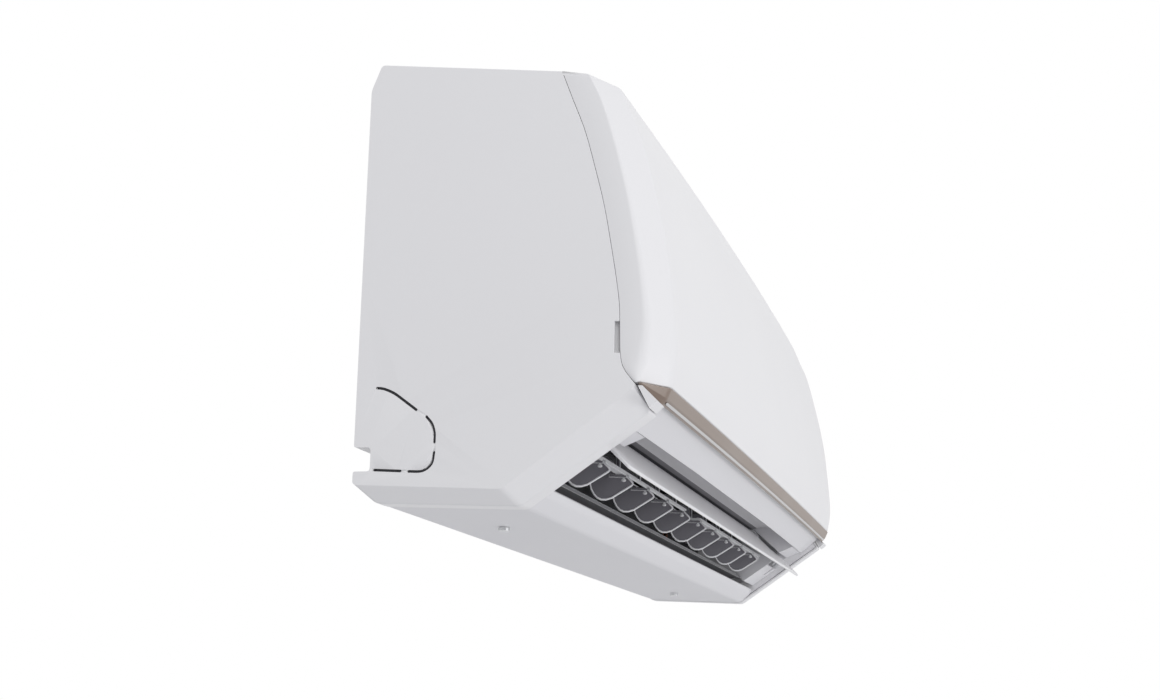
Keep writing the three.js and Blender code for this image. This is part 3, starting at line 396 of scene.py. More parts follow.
FINISHES = {
    "white_gloss_shell": plastic("white_gloss_shell", (0.80, 0.795, 0.81), 0.38, bump=0.0015, tone=0.012,
                                 Specular_IOR_Level=0.3),
    "white_satin_shell": plastic("white_satin_shell", (0.74, 0.735, 0.76), 0.46, bump=0.004, tone=0.02),
    "white_small_parts": plastic("white_small_parts", (0.78, 0.78, 0.79), 0.38),
    "beige_trim": plastic("beige_trim", (0.22, 0.165, 0.133), 0.36, grain=0.5, bump=0.003, tone=0.05),
    "inlay_grey": plastic("inlay_grey", (0.56, 0.55, 0.55), 0.35, bump=0.002, tone=0.02),
    "grey_vanes": plastic("grey_vanes", (0.165, 0.16, 0.18), 0.5, bump=0.006, tone=0.06),
    "inner_plastic": plastic("inner_plastic", (0.13, 0.13, 0.14), 0.55, bump=0.008),
    "fan_plastic": plastic("fan_plastic", (0.030, 0.030, 0.033), 0.5, bump=0.006, tone=0.1),
    "rubber": plastic("rubber", (0.02, 0.02, 0.02), 0.8, bump=0.01),
    "filter_frame": plastic("filter_frame", (0.07, 0.073, 0.08), 0.6),
    "zinc_steel": metal("zinc_steel", (0.55, 0.57, 0.58), 0.42, 0.25),
    "motor_steel": metal("motor_steel", (0.50, 0.51, 0.52), 0.38, 0.18),
    "screw_steel": metal("screw_steel", (0.60, 0.61, 0.62), 0.30, 0.10),
    "aluminium_fins": finish_material("aluminium_fins", FINNED, FIN_LOOK, 0.3, metallic=0.9),
    "net": finish_material("net", FINNED, NET_LOOK, 0.5),
    # pale paint on the vanes' edges, standing for a highlight
    "vane_edge": plastic("vane_edge", (0.9, 0.9, 0.92), 0.3),
    "duct_shade": plastic("duct_shade", (0.055, 0.054, 0.062), 0.6, bump=0.01, tone=0.1, edge=0.1),
    # a painted highlight and a painted shade for two bands of the louvre's pocket
    "pocket_band": plastic("pocket_band", (0.86, 0.855, 0.87), 0.4),
    "pocket_shade": plastic("pocket_shade", (0.22, 0.215, 0.235), 0.5),
    "copper": metal("copper", (0.72, 0.36, 0.22), 0.28, 0.15),
    "pipe_insulation": plastic("pipe_insulation", (0.62, 0.62, 0.60), 0.85, grain=1.5, bump=0.12, tone=0.08),
    "brass": metal("brass", (0.72, 0.52, 0.22), 0.28, 0.12),
    "hose_plastic": plastic("hose_plastic", (0.58, 0.60, 0.62), 0.5),
    "circuit_board": plastic("circuit_board", (0.03, 0.14, 0.06), 0.35, bump=0.01, tone=0.15),
    "black_plastic": plastic("black_plastic", (0.018, 0.018, 0.02), 0.4),
}


# ---------- view and light ----------

WORLD_LIGHT = 0.585
SIDE_POWER = 20
TOP_POWER = 5
LOW_POWER = 23
FLOOR_LEVEL = -1.5
FLOOR_REACH = 4.0
CAMERA_LENS = 56.71
CAMERA_AT = Vector((-1.521371, -0.428774, -0.283750))
CAMERA_TURN = Euler(np.radians((101.72427, -1.40113, -75.73325)))


def camera():
    """The photograph's view."""
    data = bpy.data.cameras.new("camera")
    data.sensor_width = 36.0
    data.sensor_fit = "HORIZONTAL"
    data.lens = CAMERA_LENS
    data.clip_end = 50
    made = bpy.data.objects.new("camera", data)
    made.location = CAMERA_AT
    made.rotation_euler = CAMERA_TURN
    bpy.context.scene.collection.objects.link(made)
    bpy.context.scene.camera = made


def lamp(name, at, target, size, power):
    """A square soft lamp at a place, facing another."""
    data = bpy.data.lights.new(name, "AREA")
    data.shape = "SQUARE"
    data.size = size
    data.energy = power
    made = bpy.data.objects.new(name, data)
    made.location = at
    made.rotation_euler = (Vector(target) - Vector(at)).to_track_quat("-Z", "Y").to_euler()
    made.visible_camera = False
    bpy.context.scene.collection.objects.link(made)


def surroundings():
    """A white background to the eye, even grey light on the object, three soft lamps and a pale floor."""
    world = bpy.data.worlds.new("studio")
    bpy.context.scene.world = world
    world.use_nodes = True
    tree = world.node_tree
    tree.nodes.clear()
    paths = tree.nodes.new("ShaderNodeLightPath").outputs
    seen = math_node(tree, "ADD", paths["Is Camera Ray"], paths["Is Glossy Ray"])
    through = math_node(tree, "ADD", seen, paths["Is Transmission Ray"])
    through.node.use_clamp = True
    light = {"Color": (0.97, 0.98, 1.0, 1), "Strength": WORLD_LIGHT}
    lit = made_node(tree, "ShaderNodeBackground", light)
    white = made_node(tree, "ShaderNodeBackground", {"Color": (1, 1, 1, 1), "Strength": 1.0})
    mixed = made_node(tree, "ShaderNodeMixShader", {0: through, 1: lit, 2: white})
    fill(tree, tree.nodes.new("ShaderNodeOutputWorld"), {"Surface": mixed})

    lamp("side_lamp", (-2.4, -0.8, 1.2), (-0.3, -0.1, 0), 1.6, SIDE_POWER)
    lamp("top_lamp", (0.3, 0.2, 2.6), (0, 0, 0), 2.0, TOP_POWER)
    lamp("low_lamp", (-0.3, -2.8, -0.9), (-0.1, -0.1, 0), 1.2, LOW_POWER)

    mesh = bpy.data.meshes.new("floor")
    turns = ((-1, -1), (1, -1), (1, 1), (-1, 1))
    mesh.from_pydata([(a * FLOOR_REACH, b * FLOOR_REACH, FLOOR_LEVEL) for a, b in turns], [], [(0, 1, 2, 3)])
    floor = bpy.data.objects.new("floor", mesh)
    bpy.context.scene.collection.objects.link(floor)
    pale = plastic("pale_floor", (0.78, 0.78, 0.79), 0.7, grain=4, bump=0.02, tone=0.01)
    floor.data.materials.append(pale)


# ---------- the profile's curves ----------

MOULDING_EDGE = 0.5  # rounding of the trim's long edges
INLAY_END = 2.6  # length over which the inlay's end is rounded off
INLAY_SHORT = 4  # how far the inlay ends before the crease
LINE_STEPS = 72
PANEL_STEPS = 53
TRIM_STEPS = 41
INLAY_STEPS = 61
SEAM_TOP = (131.2, 279.4)
SEAM_FOOT = (182.6, FOOT_HEIGHT)
SEAM_LINE = spline([SEAM_TOP, (138, 262), (147.5, 238), (155, 212), (161.4, 187), (166.4, 161), (169.9, 141),
                    (172.3, 124), (173, 108), (173.6, 92), (175.8, 82.5), SEAM_FOOT], LINE_STEPS)
CHEEK_LINE = spline([(149, 276.4), (158, 258), (167.5, 229.4), (177.3, 192.4), (185.3, 153.1), (189.6, 125),
                     (190.8, 109), (188.8, 92), (186, 80), (185.4, FOOT_HEIGHT)], LINE_STEPS)
FRONT_LINE = spline([(164.8, 273.6), (172.5, 255), (180.5, 235.8), (191.8, 192.1), (198.4, 158.3),
                     (202.3, 125), (204.2, 104), (204.2, 88), (201.8, FOOT_HEIGHT)], LINE_STEPS)


def skin_piece(name, grid, body, slot, replaced, wall, extra=None):
    """A skin over a grid of places, given an inward wall. grid is (rows, columns, 3) in metres."""
    rows, columns = grid.shape[:2]
    vertices = grid.reshape(-1, 3)
    faces = grid_faces(rows, columns)
    if extra is not None:
        more_vertices, more_faces = extra
        faces += [[i + len(vertices) for i in f] for f in more_faces]
        vertices = np.vstack([vertices, more_vertices])
    piece = mesh_piece(name, vertices, faces, body, slot, replaced)
    modifier(piece, "SOLIDIFY", "wall", thickness=wall * MM, offset=-1, use_even_offset=False)
    even_normals(piece)
    return piece


def closed_sweep(name, sections, body, slot, replaced=()):
    """A solid skinned through sections, closed by its first and last. sections is (m, n, 3) in metres."""
    m, n = sections.shape[:2]
    faces = grid_faces(m, n, wrap_columns=True)
    faces += [list(range(n)), list(range((m - 1) * n, m * n))]
    piece = mesh_piece(name, sections.reshape(-1, 3), faces, body, slot, replaced)
    even_normals(piece)
    return piece


# ---------- front panel ----------


def panel_profile(line):
    """One line of the panel: along the top, down the line and back under the foot, with soft corners."""
    corners = np.vstack([SEAM_TOP, line, SEAM_FOOT])
    radii = [0.0] * len(corners)
    radii[1], radii[-2] = 3.2, 1.2
    return rounded_path(corners, radii, 5)


def front_panel():
    """A bowed front between two slanted cheeks, each with a flat end that meets its side cover.

    Across the unit its lines go: seam, cheek, front, the bow's parabola, front, cheek, seam. Each line runs
    down the unit on the seam's, the cheek's or the front's own curve. The creases are rounded more and more
    towards the foot: 0.8 mm at the cheek and 2.2 mm at the front, plus 6 mm times a power of the way down.
    """
    seam, cheek, front = (panel_profile(line) for line in (SEAM_LINE, CHEEK_LINE, FRONT_LINE))
    down = np.linspace(0, 1, len(front))[:, None]
    middle = np.linspace(-CREASE, CREASE, PANEL_STEPS)
    corners = [place(-HALF, *seam.T), place(-HALF, *cheek.T)]
    corners += [place(x, bowed(front[:, 0], x, panel_bow(front[:, 1])), front[:, 1]) for x in middle]
    corners += [place(HALF, *cheek.T), place(HALF, *seam.T)]
    radii = [0.0] * len(corners)
    radii[1] = radii[-2] = (0.0008 + 0.006 * down**2)
    radii[2] = radii[-3] = (0.0022 + 0.006 * down**3)
    grid = rounded_path(np.stack(corners), radii, 5)
    skin_piece("panel_skin", grid, "panel", "white_gloss_shell", "front_panel", wall=2.6)


def foot_moulding(name, outline, end, slot, replaced):
    """A moulding that follows the panel's foot, bowed between the creases and drawn in at the cheeks."""
    outline, end = np.array(outline, float), np.array(end, float)
    middle = np.linspace(-CREASE, CREASE, TRIM_STEPS)
    corners = [place(-HALF, *end.T)]
    corners += [place(x, bowed(outline[:, 0], x, FOOT_BOW), outline[:, 1]) for x in middle]
    corners += [place(HALF, *end.T)]
    corners = np.stack(corners)
    looped = np.concatenate([corners, corners[:, :1]], 1)
    start = (looped[:, :1] + looped[:, 1:2]) / 2
    ring = np.concatenate([start, looped[:, 1:], start], 1).transpose(1, 0, 2)
    path = rounded_path(ring, [MOULDING_EDGE * MM] * len(ring), 3)[:-1].transpose(1, 0, 2)
    radii = [0.0] * len(path)
    radii[1] = radii[-2] = 0.003
    sections = rounded_path(path, radii, 4)
    return closed_sweep(name, sections, "panel", slot, replaced)


def panel_trim():
    """The beige moulding under the panel and the pale inlay on its face."""
    top = FOOT_HEIGHT - JOINT_GAP
    outline = [(198.8, top), (196.9, 67.6), (194, 64), (195.3, 62.4), (198.9, 66.2), (201.8, top)]
    end = [(185.2, top), (185, 72.5), (184.8, 72.2), (185.6, 71.8), (187.6, 71.9), (188.2, top)]
    foot_moulding("trim_moulding", outline, end, "beige_trim", "trim_strip")
    inlay = np.array([(196.85, 63.5), (197.15, 63.2), (198.4, 64.55), (198.1, 64.85)], float)
    reach = CREASE - INLAY_SHORT
    x = reach * np.sin(np.linspace(-np.pi / 2, np.pi / 2, INLAY_STEPS))
    into_end = ((np.abs(x) - (reach - INLAY_END)) / INLAY_END).clip(0, 1)
    fall = np.sqrt(np.clip(1 - into_end**2, 0.02, 1))
    centre = inlay.mean(0)
    ring = centre + (inlay - centre) * fall[:, None, None]
    sections = place(x[:, None], bowed(ring[..., 0], x[:, None], FOOT_BOW), ring[..., 1])
    bar = closed_sweep("trim_inlay_bar", sections, "panel", "white_gloss_shell", "trim_inlay")
    bar.data.materials.append(FINISHES["inlay_grey"])


# ---------- side covers ----------

COVER_DEPTH = 26.5  # along the unit, from the end to the joint
BEVEL_WIDTH = 8.5
GRIP_DEPTH = 3.5
GRIP_HEIGHTS = (92.0, 112.3)
GRIP_BACK = 169.5
PLATE_INSET = 0.45  # from the outer face's edge to the flat plate inside it
COVER_FOOT = (183.1, 72.2)
SLOT_WIDTH = 1.8
WEB_BACK, WEB_FRONT = HALF - 26.4, HALF - 24
FELT_FRONT, FELT_BACK = HALF - 2.5, HALF - 4.2
FULL_LOW = [(0, 11), (13.5, 0), (109.4, -2.6), (191.7, 56.1)]
FACE_LOW = [(0, 12), (2, 10.7), (99, 7.4), (181.4, 69.4)]
KNOCKOUT = [
    [(13.9, 73.1), (18.5, 72.5), (25.4, 69.6), (31.5, 65.4), (41, 58.5)],
    [(48, 54), (51.9, 49.3), (53.8, 43.6), (54, 37.5)],
    [(54, 31), (53, 24.5), (49.5, 20.6), (45, 19), (37.5, 19.1)],
    [(32, 19.4), (23, 19.8), (14.4, 20.2)],
]


def cover_loops():
    """The cover's outline inside its bevel and on its outer face, point for point, and the grip's points."""
    seam = SEAM_LINE[::-1] - [JOINT_GAP, 0]
    order = np.argsort(seam[:, 1])
    grip_low, grip_high = GRIP_HEIGHTS
    heights = np.concatenate([seam[order, 1], [grip_low, grip_low, grip_high, grip_high]])
    marks = np.concatenate([np.zeros(len(seam)), [0, 1, 1, 0]])
    marks[: len(seam)] = (seam[order, 1] > grip_low) & (seam[order, 1] < grip_high)
    rank = np.concatenate([np.full(len(seam), 1.5), [0, 1, 2, 3]])
    order_all = np.lexsort((rank, heights))
    heights, marks = heights[order_all], marks[order_all] > 0
    side = np.stack([np.interp(heights, seam[order, 1], seam[order, 0]), heights], -1)
    notch = [(0, 150), (0, 34.8), (11.4, 34.8), (11.4, 19.4), (0, 19.4)]
    tail = [(6.8, UNIT_HEIGHT), (0, 274.5), (0, 150)]
    full = np.array(notch + FULL_LOW + [COVER_FOOT])
    face = np.array(notch + FACE_LOW + [COVER_FOOT])
    first = rounded_path(np.stack([full, face], 1), [0, 1.7, 2.4, 2.4, 1.7, 1.4, 2.2, 3.0, 2.0, 0], 4)
    last = rounded_path(np.array([side[-1], *tail]), [0, 2.5, 3.0, 0], 5)[1:-1]
    full = np.vstack([first[:, 0], side, last])
    face = np.vstack([first[:, 1], side, last])
    in_grip = np.concatenate([np.zeros(len(first), bool), marks, np.zeros(len(last), bool)])
    gripped = face.copy()
    gripped[in_grip, 0] = GRIP_BACK
    return full, face, gripped


def moved_in(loop, amount):
    """A closed loop moved inward along the average of its edges' normals, further at a sharp corner."""
    before = loop - np.roll(loop, 1, 0)
    after = np.roll(loop, -1, 0) - loop
    for edge in (before, after):
        length = np.linalg.norm(edge, axis=1, keepdims=True)
        edge /= np.where(length > 1e-9, length, 1)
    normal = np.stack([-(before + after)[:, 1], (before + after)[:, 0]], -1)
    normal /= np.linalg.norm(normal, axis=1, keepdims=True).clip(1e-9)
    area = np.sum(loop[:, 0] * np.roll(loop[:, 1], -1) - np.roll(loop[:, 0], -1) * loop[:, 1])
    lean = np.abs(np.sum(normal * np.stack([-before[:, 1], before[:, 0]], -1), 1)).clip(0.5, 1)
    return loop + normal * (np.sign(area) * amount / lean)[:, None]


def slot_loop(route):
    """A slot's outline: the route moved half a width to each side, with half circles at its ends."""
    line = spline(route, 14)
    along = np.gradient(line, axis=0)
    along /= np.linalg.norm(along, axis=1, keepdims=True)
    normal = np.stack([-along[:, 1], along[:, 0]], -1)
    half = SLOT_WIDTH / 2
    turn = np.linspace(-np.pi / 2, np.pi / 2, 7)[1:-1, None]
    far = line[-1] + half * (np.cos(turn) * along[-1] + np.sin(turn) * normal[-1])
    near = line[0] + half * (-np.cos(turn) * along[0] - np.sin(turn) * normal[0])
    return np.vstack([line - half * normal, far, (line + half * normal)[::-1], near])


def plate_with_holes(edge, holes):
    """Triangles over a flat loop that leave the holes open, as points and faces."""
    loops = [edge, *holes]
    points = [Vector(p) for loop in loops for p in loop]
    start, faces = 0, []
    for loop in loops:
        faces.append(list(range(start, start + len(loop))))
        start += len(loop)
    made = delaunay_2d_cdt(points, [], faces, 2, 1e-5)
    return np.array([tuple(v) for v in made[0]]), [list(f) for f in made[2]]


def side_cover(side):
    """A deep cap over one end of the unit: a wide bevel below, crisp edges, a notch and a knockout.

    Each row is the whole outline, and the rows go from the joint, over the bevel, on to the outer face.
    """
    full, face, gripped = cover_loops()
    recess = full + (face - full) * ((BEVEL_WIDTH - GRIP_DEPTH) / BEVEL_WIDTH)
    recess_cut = recess.copy()
    cut = gripped[:, 0] < face[:, 0] - 0.1
    recess_cut[cut, 0] = gripped[cut, 0]
    inner = moved_in(gripped, PLATE_INSET)
    rows = [(HALF - COVER_DEPTH, full), (HALF - BEVEL_WIDTH, full), (HALF - GRIP_DEPTH, recess),
            (HALF - GRIP_DEPTH, recess_cut), (HALF, gripped), (HALF, inner)]
    corners = np.stack([place(side * x, *loop.T) for x, loop in rows])
    grid = rounded_path(corners, [0, 0.0012, 0, 0, 0.0005, 0], 4)
    plate, triangles = plate_with_holes(inner, [slot_loop(route) for route in KNOCKOUT])
    columns = np.concatenate([grid, grid[:, :1]], 1)
    name = SIDES[side]
    skin_piece(f"cover_skin_{name}", columns, "casing", "white_gloss_shell", f"side_cover_{name}", wall=2.2,
               extra=(place(side * HALF, *plate.T), triangles))


# ---------- bottom cover and grille ----------

GRILLE_RUN = 124  # depth over which the grille's face slopes down to the seam
SLAT_PITCH = 4.8
SLAT_THICK = 1.2
SLAT_TALL = 2.4
SLAT_SINK = 0.35
SLAT_REACH = 394
SLAT_ROWS = (24.5, 70.5)  # depth of each row's first slat
SLATS_IN_ROW = 7
FILTER_FOOT = np.array([182.0, 104.0])
FILTER_HEAD = np.array([122.5, 273.0])
NET_INSET = 1.5
NET_HALF_THICK = 0.3
NET_ENDS = (9.5, 392.5)
BOTTOM_END = 411.6
END_SOFTENING = 0.5  # how far the bottom cover's section draws in at each end


def flat_plate(name, outline, near, far, body, slot, replaced=(), width=0.3):
    """A plate between two places along the unit, with softened edges."""
    outline = np.array(outline, float)
    sections = place(np.array([near, far])[:, None], outline[:, 0], outline[:, 1])
    count = len(outline)
    faces = grid_faces(2, count, wrap_columns=True) + [list(range(count)), list(range(count, 2 * count))]
    piece = mesh_piece(name, sections, faces, body, slot, replaced)
    modifier(piece, "BEVEL", "soft_edges", width=width * MM, segments=2, limit_method="ANGLE")
    even_normals(piece)
    return piece


def cover_web(side):
    """The web inside a cover that closes the outlet's end."""
    outline = [(97, -1.2), (109.1, -1.5), (190.3, 56.4), (183, 70.4), (170, 62), (140, 40), (104, 14)]
    flat_plate(f"cover_web_{SIDES[side]}", outline, side * WEB_BACK, side * WEB_FRONT, "casing",
               "white_gloss_shell", f"side_cover_{SIDES[side]}")


def felt_pad(side):
    """Dark felt on the inside of the end wall, behind the knockout."""
    outline = [(13, 16), (57, 16), (58, 56), (44, 64), (30, 74), (13, 78)]
    name = f"felt_pad_{SIDES[side]}"
    pad = flat_plate(name, outline, side * FELT_FRONT, side * FELT_BACK, "casing", "rubber")
    pad.data.materials.append(FINISHES["duct_shade"])


def grille_slats():
    """Fine slats along the top grille's openings, just under its face, which slopes from crown to seam."""
    crown = (6.8, UNIT_HEIGHT)
    slope = (crown[1] - SEAM_TOP[1]) / GRILLE_RUN
    for row, start in enumerate(SLAT_ROWS):
        for step in range(SLATS_IN_ROW):
            depth = start + SLAT_PITCH * step
            top = crown[1] - (depth - crown[0]) * slope - SLAT_SINK
            back, front, low = depth - SLAT_THICK / 2, depth + SLAT_THICK / 2, top - SLAT_TALL
            outline = [(back, low), (front, low), (front, top), (back, top)]
            name = f"grille_slat_{row}_{step}"
            flat_plate(name, outline, -SLAT_REACH, SLAT_REACH, "casing", "white_satin_shell")


def filter_net(side):
    """The net stretched in a filter's frame: a thin sheet along the filter's line."""
    name = f"filter_{SIDES[side]}"
    along = (FILTER_HEAD - FILTER_FOOT) / np.linalg.norm(FILTER_HEAD - FILTER_FOOT)
    out = np.array([along[1], -along[0]]) * NET_HALF_THICK
    low, high = FILTER_FOOT + along * NET_INSET, FILTER_HEAD - along * NET_INSET
    outline = [low - out, low + out, high + out, high - out]
    near, far = side * NET_ENDS[0], side * NET_ENDS[1]
    net = flat_plate(f"{name}_net", outline, near, far, name, "grey_vanes", width=0.1)
    net.data.materials.append(FINISHES["net"])


def bottom_cover():
    """The plate under the unit: a profile with a raised front lip, carried along the unit."""
    outer = [(14, 0.4), (109, -2.2), (119.2, 6.6), (121.6, 11.4)]
    inner = [(119.6, 13.0), (117.4, 8.4), (108.2, 0.5), (14.1, 2.9)]
    loop = np.array([(14.05, 1.6), *outer, *inner, (14.05, 1.6)])
    path = rounded_path(loop, [0, 0.6, 3.0, 2.0, 0.7, 0.7, 2.0, 3.0, 0.6, 0], 5)[:-1]
    full_from = BOTTOM_END - 0.6
    x = np.array([-BOTTOM_END, -full_from, full_from, BOTTOM_END])
    drawn_in = np.array([1, 0, 0, 1])[:, None, None]
    ring = path + (moved_in(path, END_SOFTENING) - path) * drawn_in
    sections = place(x[:, None], ring[..., 0], ring[..., 1])
    closed_sweep("bottom_plate", sections, "casing", "white_satin_shell", "bottom_cover")


# ---------- vanes and their links ----------

VANE_AXIS_DEPTH = 118.0
VANE_TURN = np.radians(20)
LINK_REACH = 20.5
LINK_LEVEL = 40.0
FIRST_VANE = -345.0
VANE_PITCH = 71
VANES_IN_GROUP = 5
LEFT_CRANK, RIGHT_CRANK = -374.0, 336.0
KNOB_SIDES = 14
FLANGE_OUT = 1.8  # from the pins' line to the flange's front
FLANGE_THICK = 1.3
FLANGE_BELOW, FLANGE_ABOVE = 1.4, 0.4  # from the link's level
FLANGE_FROM_PIN = 4.6
ON_BLADE = 0.93  # how squarely a face has to look across the blade to count as its flat side


def faces_where(piece, test, finish):
    """Gives another finish to the faces whose x, depth, height and normal pass a test."""
    mesh = piece.data
    count = len(mesh.polygons)
    middles, normals = np.empty(count * 3), np.empty(count * 3)
    chosen = np.zeros(count, np.int32)
    mesh.polygons.foreach_get("center", middles)
    mesh.polygons.foreach_get("normal", normals)
    mesh.polygons.foreach_get("material_index", chosen)
    middles = middles.reshape(-1, 3) / MM
    passed = test(middles[:, 0], -middles[:, 1], middles[:, 2] - BACK_BOTTOM, normals.reshape(-1, 3))
    mesh.materials.append(FINISHES[finish])
    chosen[passed] = len(mesh.materials) - 1
    mesh.polygons.foreach_set("material_index", chosen)


def lathe(name, centre, profile, body, slot):
    """A turned knob: the profile of (radius, height) carried round an upright axis, closed at both ends."""
    profile = np.array(profile, float)
    turn = np.linspace(0, 2 * np.pi, KNOB_SIDES, endpoint=False)
    x = centre[0] + profile[:, :1] * np.cos(turn)
    depth = centre[1] + profile[:, :1] * np.sin(turn)
    return closed_sweep(name, place(x, depth, profile[:, 1:]), body, slot)


def quadratic(start, pull, end):
    """A curve (1-t)^2 start + 2t(1-t) pull + t^2 end, as evenly stepped points."""
    t = np.linspace(0, 1, 6)[:, None]
    return (1 - t) ** 2 * np.array(start) + 2 * t * (1 - t) * np.array(pull) + t * t * np.array(end)


def vane_rim(number, x):
    """The raised rim of a vane: a rounded bar carried along the blade's edge, turned with the blade and
    painted pale as a highlight.
    """
    front, tip, low = (22.4, 39.3), (26.6, 35.4), (26.2, 31.6)
    under = quadratic((12.5, 22.6), (1.5, 17.6), (-3, 28.4))
    back = quadratic((-3, 28.4), (-5.4, 36), (-4, 47))
    path = np.vstack([[front], quadratic(tip, (28.6, 33.2), low), under, back[1:]])
    along = np.gradient(path, axis=0)
    along /= np.linalg.norm(along, axis=1, keepdims=True)
    inward = np.stack([along[:, 1], -along[:, 0]], -1)
    # the bar's section is a long octagon
    bar_in = np.array([-0.2, 0.1, 0.8, 1.15, 1.15, 0.8, 0.1, -0.2])
    bar_across = np.array([-0.8, -1.15, -1.15, -0.8, 0.8, 1.15, 1.15, 0.8])
    out = path[:, None, 0] + inward[:, None, 0] * bar_in
    height = path[:, None, 1] + inward[:, None, 1] * bar_in
    along_unit = x + bar_across * np.cos(VANE_TURN) + out * np.sin(VANE_TURN)
    depth = VANE_AXIS_DEPTH + out * np.cos(VANE_TURN) - bar_across * np.sin(VANE_TURN)
    sections = place(along_unit, depth, height)
    piece = closed_sweep(f"vane_rim_{number}", sections, f"vane_{number}", "grey_vanes")
    # the rim's only material is the pale painted highlight
    piece.data.materials.append(FINISHES["vane_edge"])


def vane(number, x):
    """A vane with a painted highlight on its edge faces, and a knob below its ear where the link's pin
    stands.
    """
    node = f"vane_{number}"
    piece = softened(node, "grey_vanes", 0.3)
    across = np.array([np.cos(VANE_TURN), np.sin(VANE_TURN), 0])

    def on_edge(along, depth, height, normal):
        """Whether a face doesn't lie flat on either side of the blade."""
        return np.abs(normal @ across) < ON_BLADE

    piece.data.materials.append(FINISHES["grey_vanes"])
    # the faces on the blade's edges get the painted highlight
    faces_where(piece, on_edge, "vane_edge")
    centre = (x + LINK_REACH * np.sin(VANE_TURN), VANE_AXIS_DEPTH + LINK_REACH * np.cos(VANE_TURN))
    knob = [(0.9, 34.6), (1.7, 35.0), (1.9, 35.8), (1.5, 36.6), (1.1, 37.0), (1.1, 37.9)]
    lathe(f"vane_knob_{number}", centre, knob, node, "white_small_parts")
    vane_rim(number, x)


def link(side, axes):
    """A link's rod, stiffened between the pins by a narrow flange along its front."""
    softened(f"vane_link_{side}", "white_small_parts", 0.25)
    pins = np.sort(np.array(axes)) + LINK_REACH * np.sin(VANE_TURN)
    front = VANE_AXIS_DEPTH + LINK_REACH + FLANGE_OUT
    low, high = LINK_LEVEL - FLANGE_BELOW, LINK_LEVEL + FLANGE_ABOVE
    outline = [(front - FLANGE_THICK, low), (front, low), (front, high), (front - FLANGE_THICK, high)]
    for number, (left, right) in enumerate(zip(pins[:-1], pins[1:]), 1):
        flat_plate(f"link_flange_{side}_{number}", outline, left + FLANGE_FROM_PIN, right - FLANGE_FROM_PIN,
                   f"vane_link_{side}", "white_small_parts")


# ---------- louvre ----------

LOUVRE_AXIS = np.array([143.6, 39.5])
LOUVRE_TURN = np.radians(46)


def louvre_place(x, t, r):
    """A place on the louvre: t runs along its section to the free edge, r stands out from its axis."""
    out = np.array([np.cos(LOUVRE_TURN), np.sin(LOUVRE_TURN)])
    return place(x, LOUVRE_AXIS[0] + out[0] * r + out[1] * t, LOUVRE_AXIS[1] + out[1] * r - out[0] * t)


def louvre_blade():
    """The blade: a stepped plan whose edge rolls over from the outer face to the inner face."""
    inner_left, inner_right, left, right = -358.0, 350.8, -401.0, 397.0
    arm_edge, ear, free_edge = -28, -1, 30.8
    plan = [(0, arm_edge), (inner_right, arm_edge), (inner_right, ear), (right, ear), (right, free_edge),
            (left, free_edge), (left, ear), (inner_left, ear), (inner_left, arm_edge), (0, arm_edge)]
    plan = rounded_path(plan, [0, 2, 1.2, 2, 3, 3, 2, 1.2, 2, 0], 6)[:-1]
    levels = [(1.6, 11.0), (0.5, 10.86), (0.0, 10.3), (0.0, 9.3), (0.35, 8.75), (0.9, 8.6)]
    loops = np.stack([louvre_place(*moved_in(plan, step).T, r) for step, r in levels])
    closed_sweep("louvre_blade", loops, "louvre", "white_gloss_shell", "louvre")


# ---------- outlet ----------

OUTLET_ENDS = (-408.8, 353.0)
DUCT_DEPTH = 131.5
DUCT_HEIGHT = 17
POCKET_RADIUS = 31.7
POCKET_SLACK = 1.2
END_FACE = 0.5  # a face that looks along the unit by more than this share is an end
# angles round the louvre's axis of the pocket's painted highlight band and its painted shade band
HIGHLIGHT_ANGLES = (18, 104)
PAINTED_SHADE_ANGLES = (104, 112)


def inside_duct(x, depth, height, normal):
    """The duct's faces between its ends that lie behind its mouth and above its foot."""
    within = (x > OUTLET_ENDS[0]) & (x < OUTLET_ENDS[1])
    return within & (depth < DUCT_DEPTH) & (height > DUCT_HEIGHT) & (np.abs(normal[:, 0]) < END_FACE)


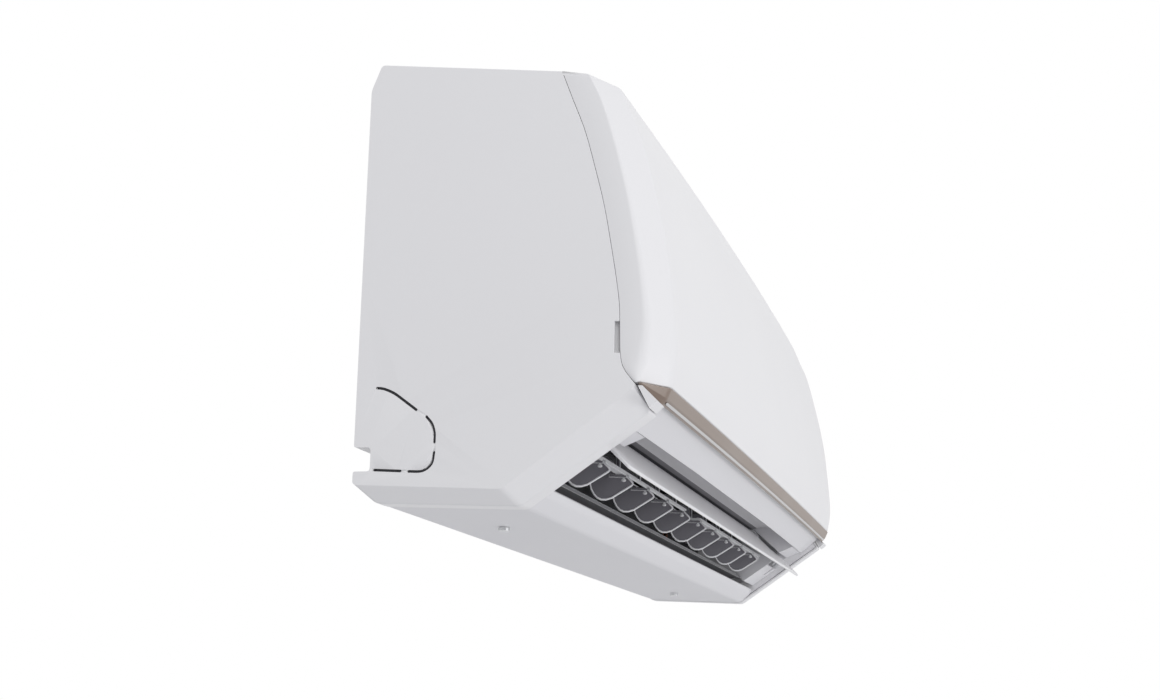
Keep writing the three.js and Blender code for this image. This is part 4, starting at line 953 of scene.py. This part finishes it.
def pocket_part(angles):
    """A test for the faces of the louvre's pocket between two angles round the louvre's axis."""
    def test(x, depth, height, normal):
        """Whether a face lies at the pocket's radius and between the two angles."""
        out = np.stack([depth, height], -1) - LOUVRE_AXIS
        radius, turn = np.linalg.norm(out, axis=-1), np.degrees(np.arctan2(out[:, 1], out[:, 0]))
        on_arc = (np.abs(radius - POCKET_RADIUS) < POCKET_SLACK) & (np.abs(normal[:, 0]) < END_FACE)
        return on_arc & (turn > angles[0]) & (turn < angles[1])
    return test


def outlet():
    """The outlet's frame, with a painted highlight band and a painted shade band in the louvre's pocket, and
    a duct darkened as painted shade.
    """
    piece = softened("outlet_frame", "white_satin_shell", 0.4)
    piece.data.materials.append(FINISHES["white_satin_shell"])
    # the pocket's faces get a painted highlight band and then a painted shade band
    faces_where(piece, pocket_part(HIGHLIGHT_ANGLES), "pocket_band")
    faces_where(piece, pocket_part(PAINTED_SHADE_ANGLES), "pocket_shade")
    # painted shade: the duct's inside faces get a near black finish
    faces_where(piece, inside_duct, "duct_shade")


# ---------- building ----------

bpy.context.scene.view_settings.view_transform = "Standard"
camera()
surroundings()
front_panel()
panel_trim()
side_cover(-1)
side_cover(1)
cover_web(-1)
felt_pad(-1)
felt_pad(1)
grille_slats()
filter_net(-1)
filter_net(1)
cover_web(1)
bottom_cover()
louvre_blade()

for node in ("chin_end_left", "chin_end_right"):
    softened(node, "white_gloss_shell", 0.6)
outlet()
vane_axes = [FIRST_VANE + VANE_PITCH * i for i in range(2 * VANES_IN_GROUP)]
for number, x in enumerate(vane_axes, 1):
    vane(number, x)
link("left", [LEFT_CRANK, *vane_axes[:VANES_IN_GROUP]])
link("right", [*vane_axes[VANES_IN_GROUP:], RIGHT_CRANK])
for side in ("left", "right"):
    softened(f"vane_crank_{side}", "white_small_parts", 0.25)

slots = {part["node"]: part["material_slot"] for part in frame["record"]["subparts"]}
for name, node in frame["nodes"].items():
    node.data.materials.clear()
    node.data.materials.append(FINISHES[slots[name]])
for piece in list(bpy.context.scene.objects):
    wanted = piece.get("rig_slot")
    if piece.type == "MESH" and wanted and piece.name not in frame["nodes"] and not piece.data.materials:
        piece.data.materials.append(FINISHES[wanted])
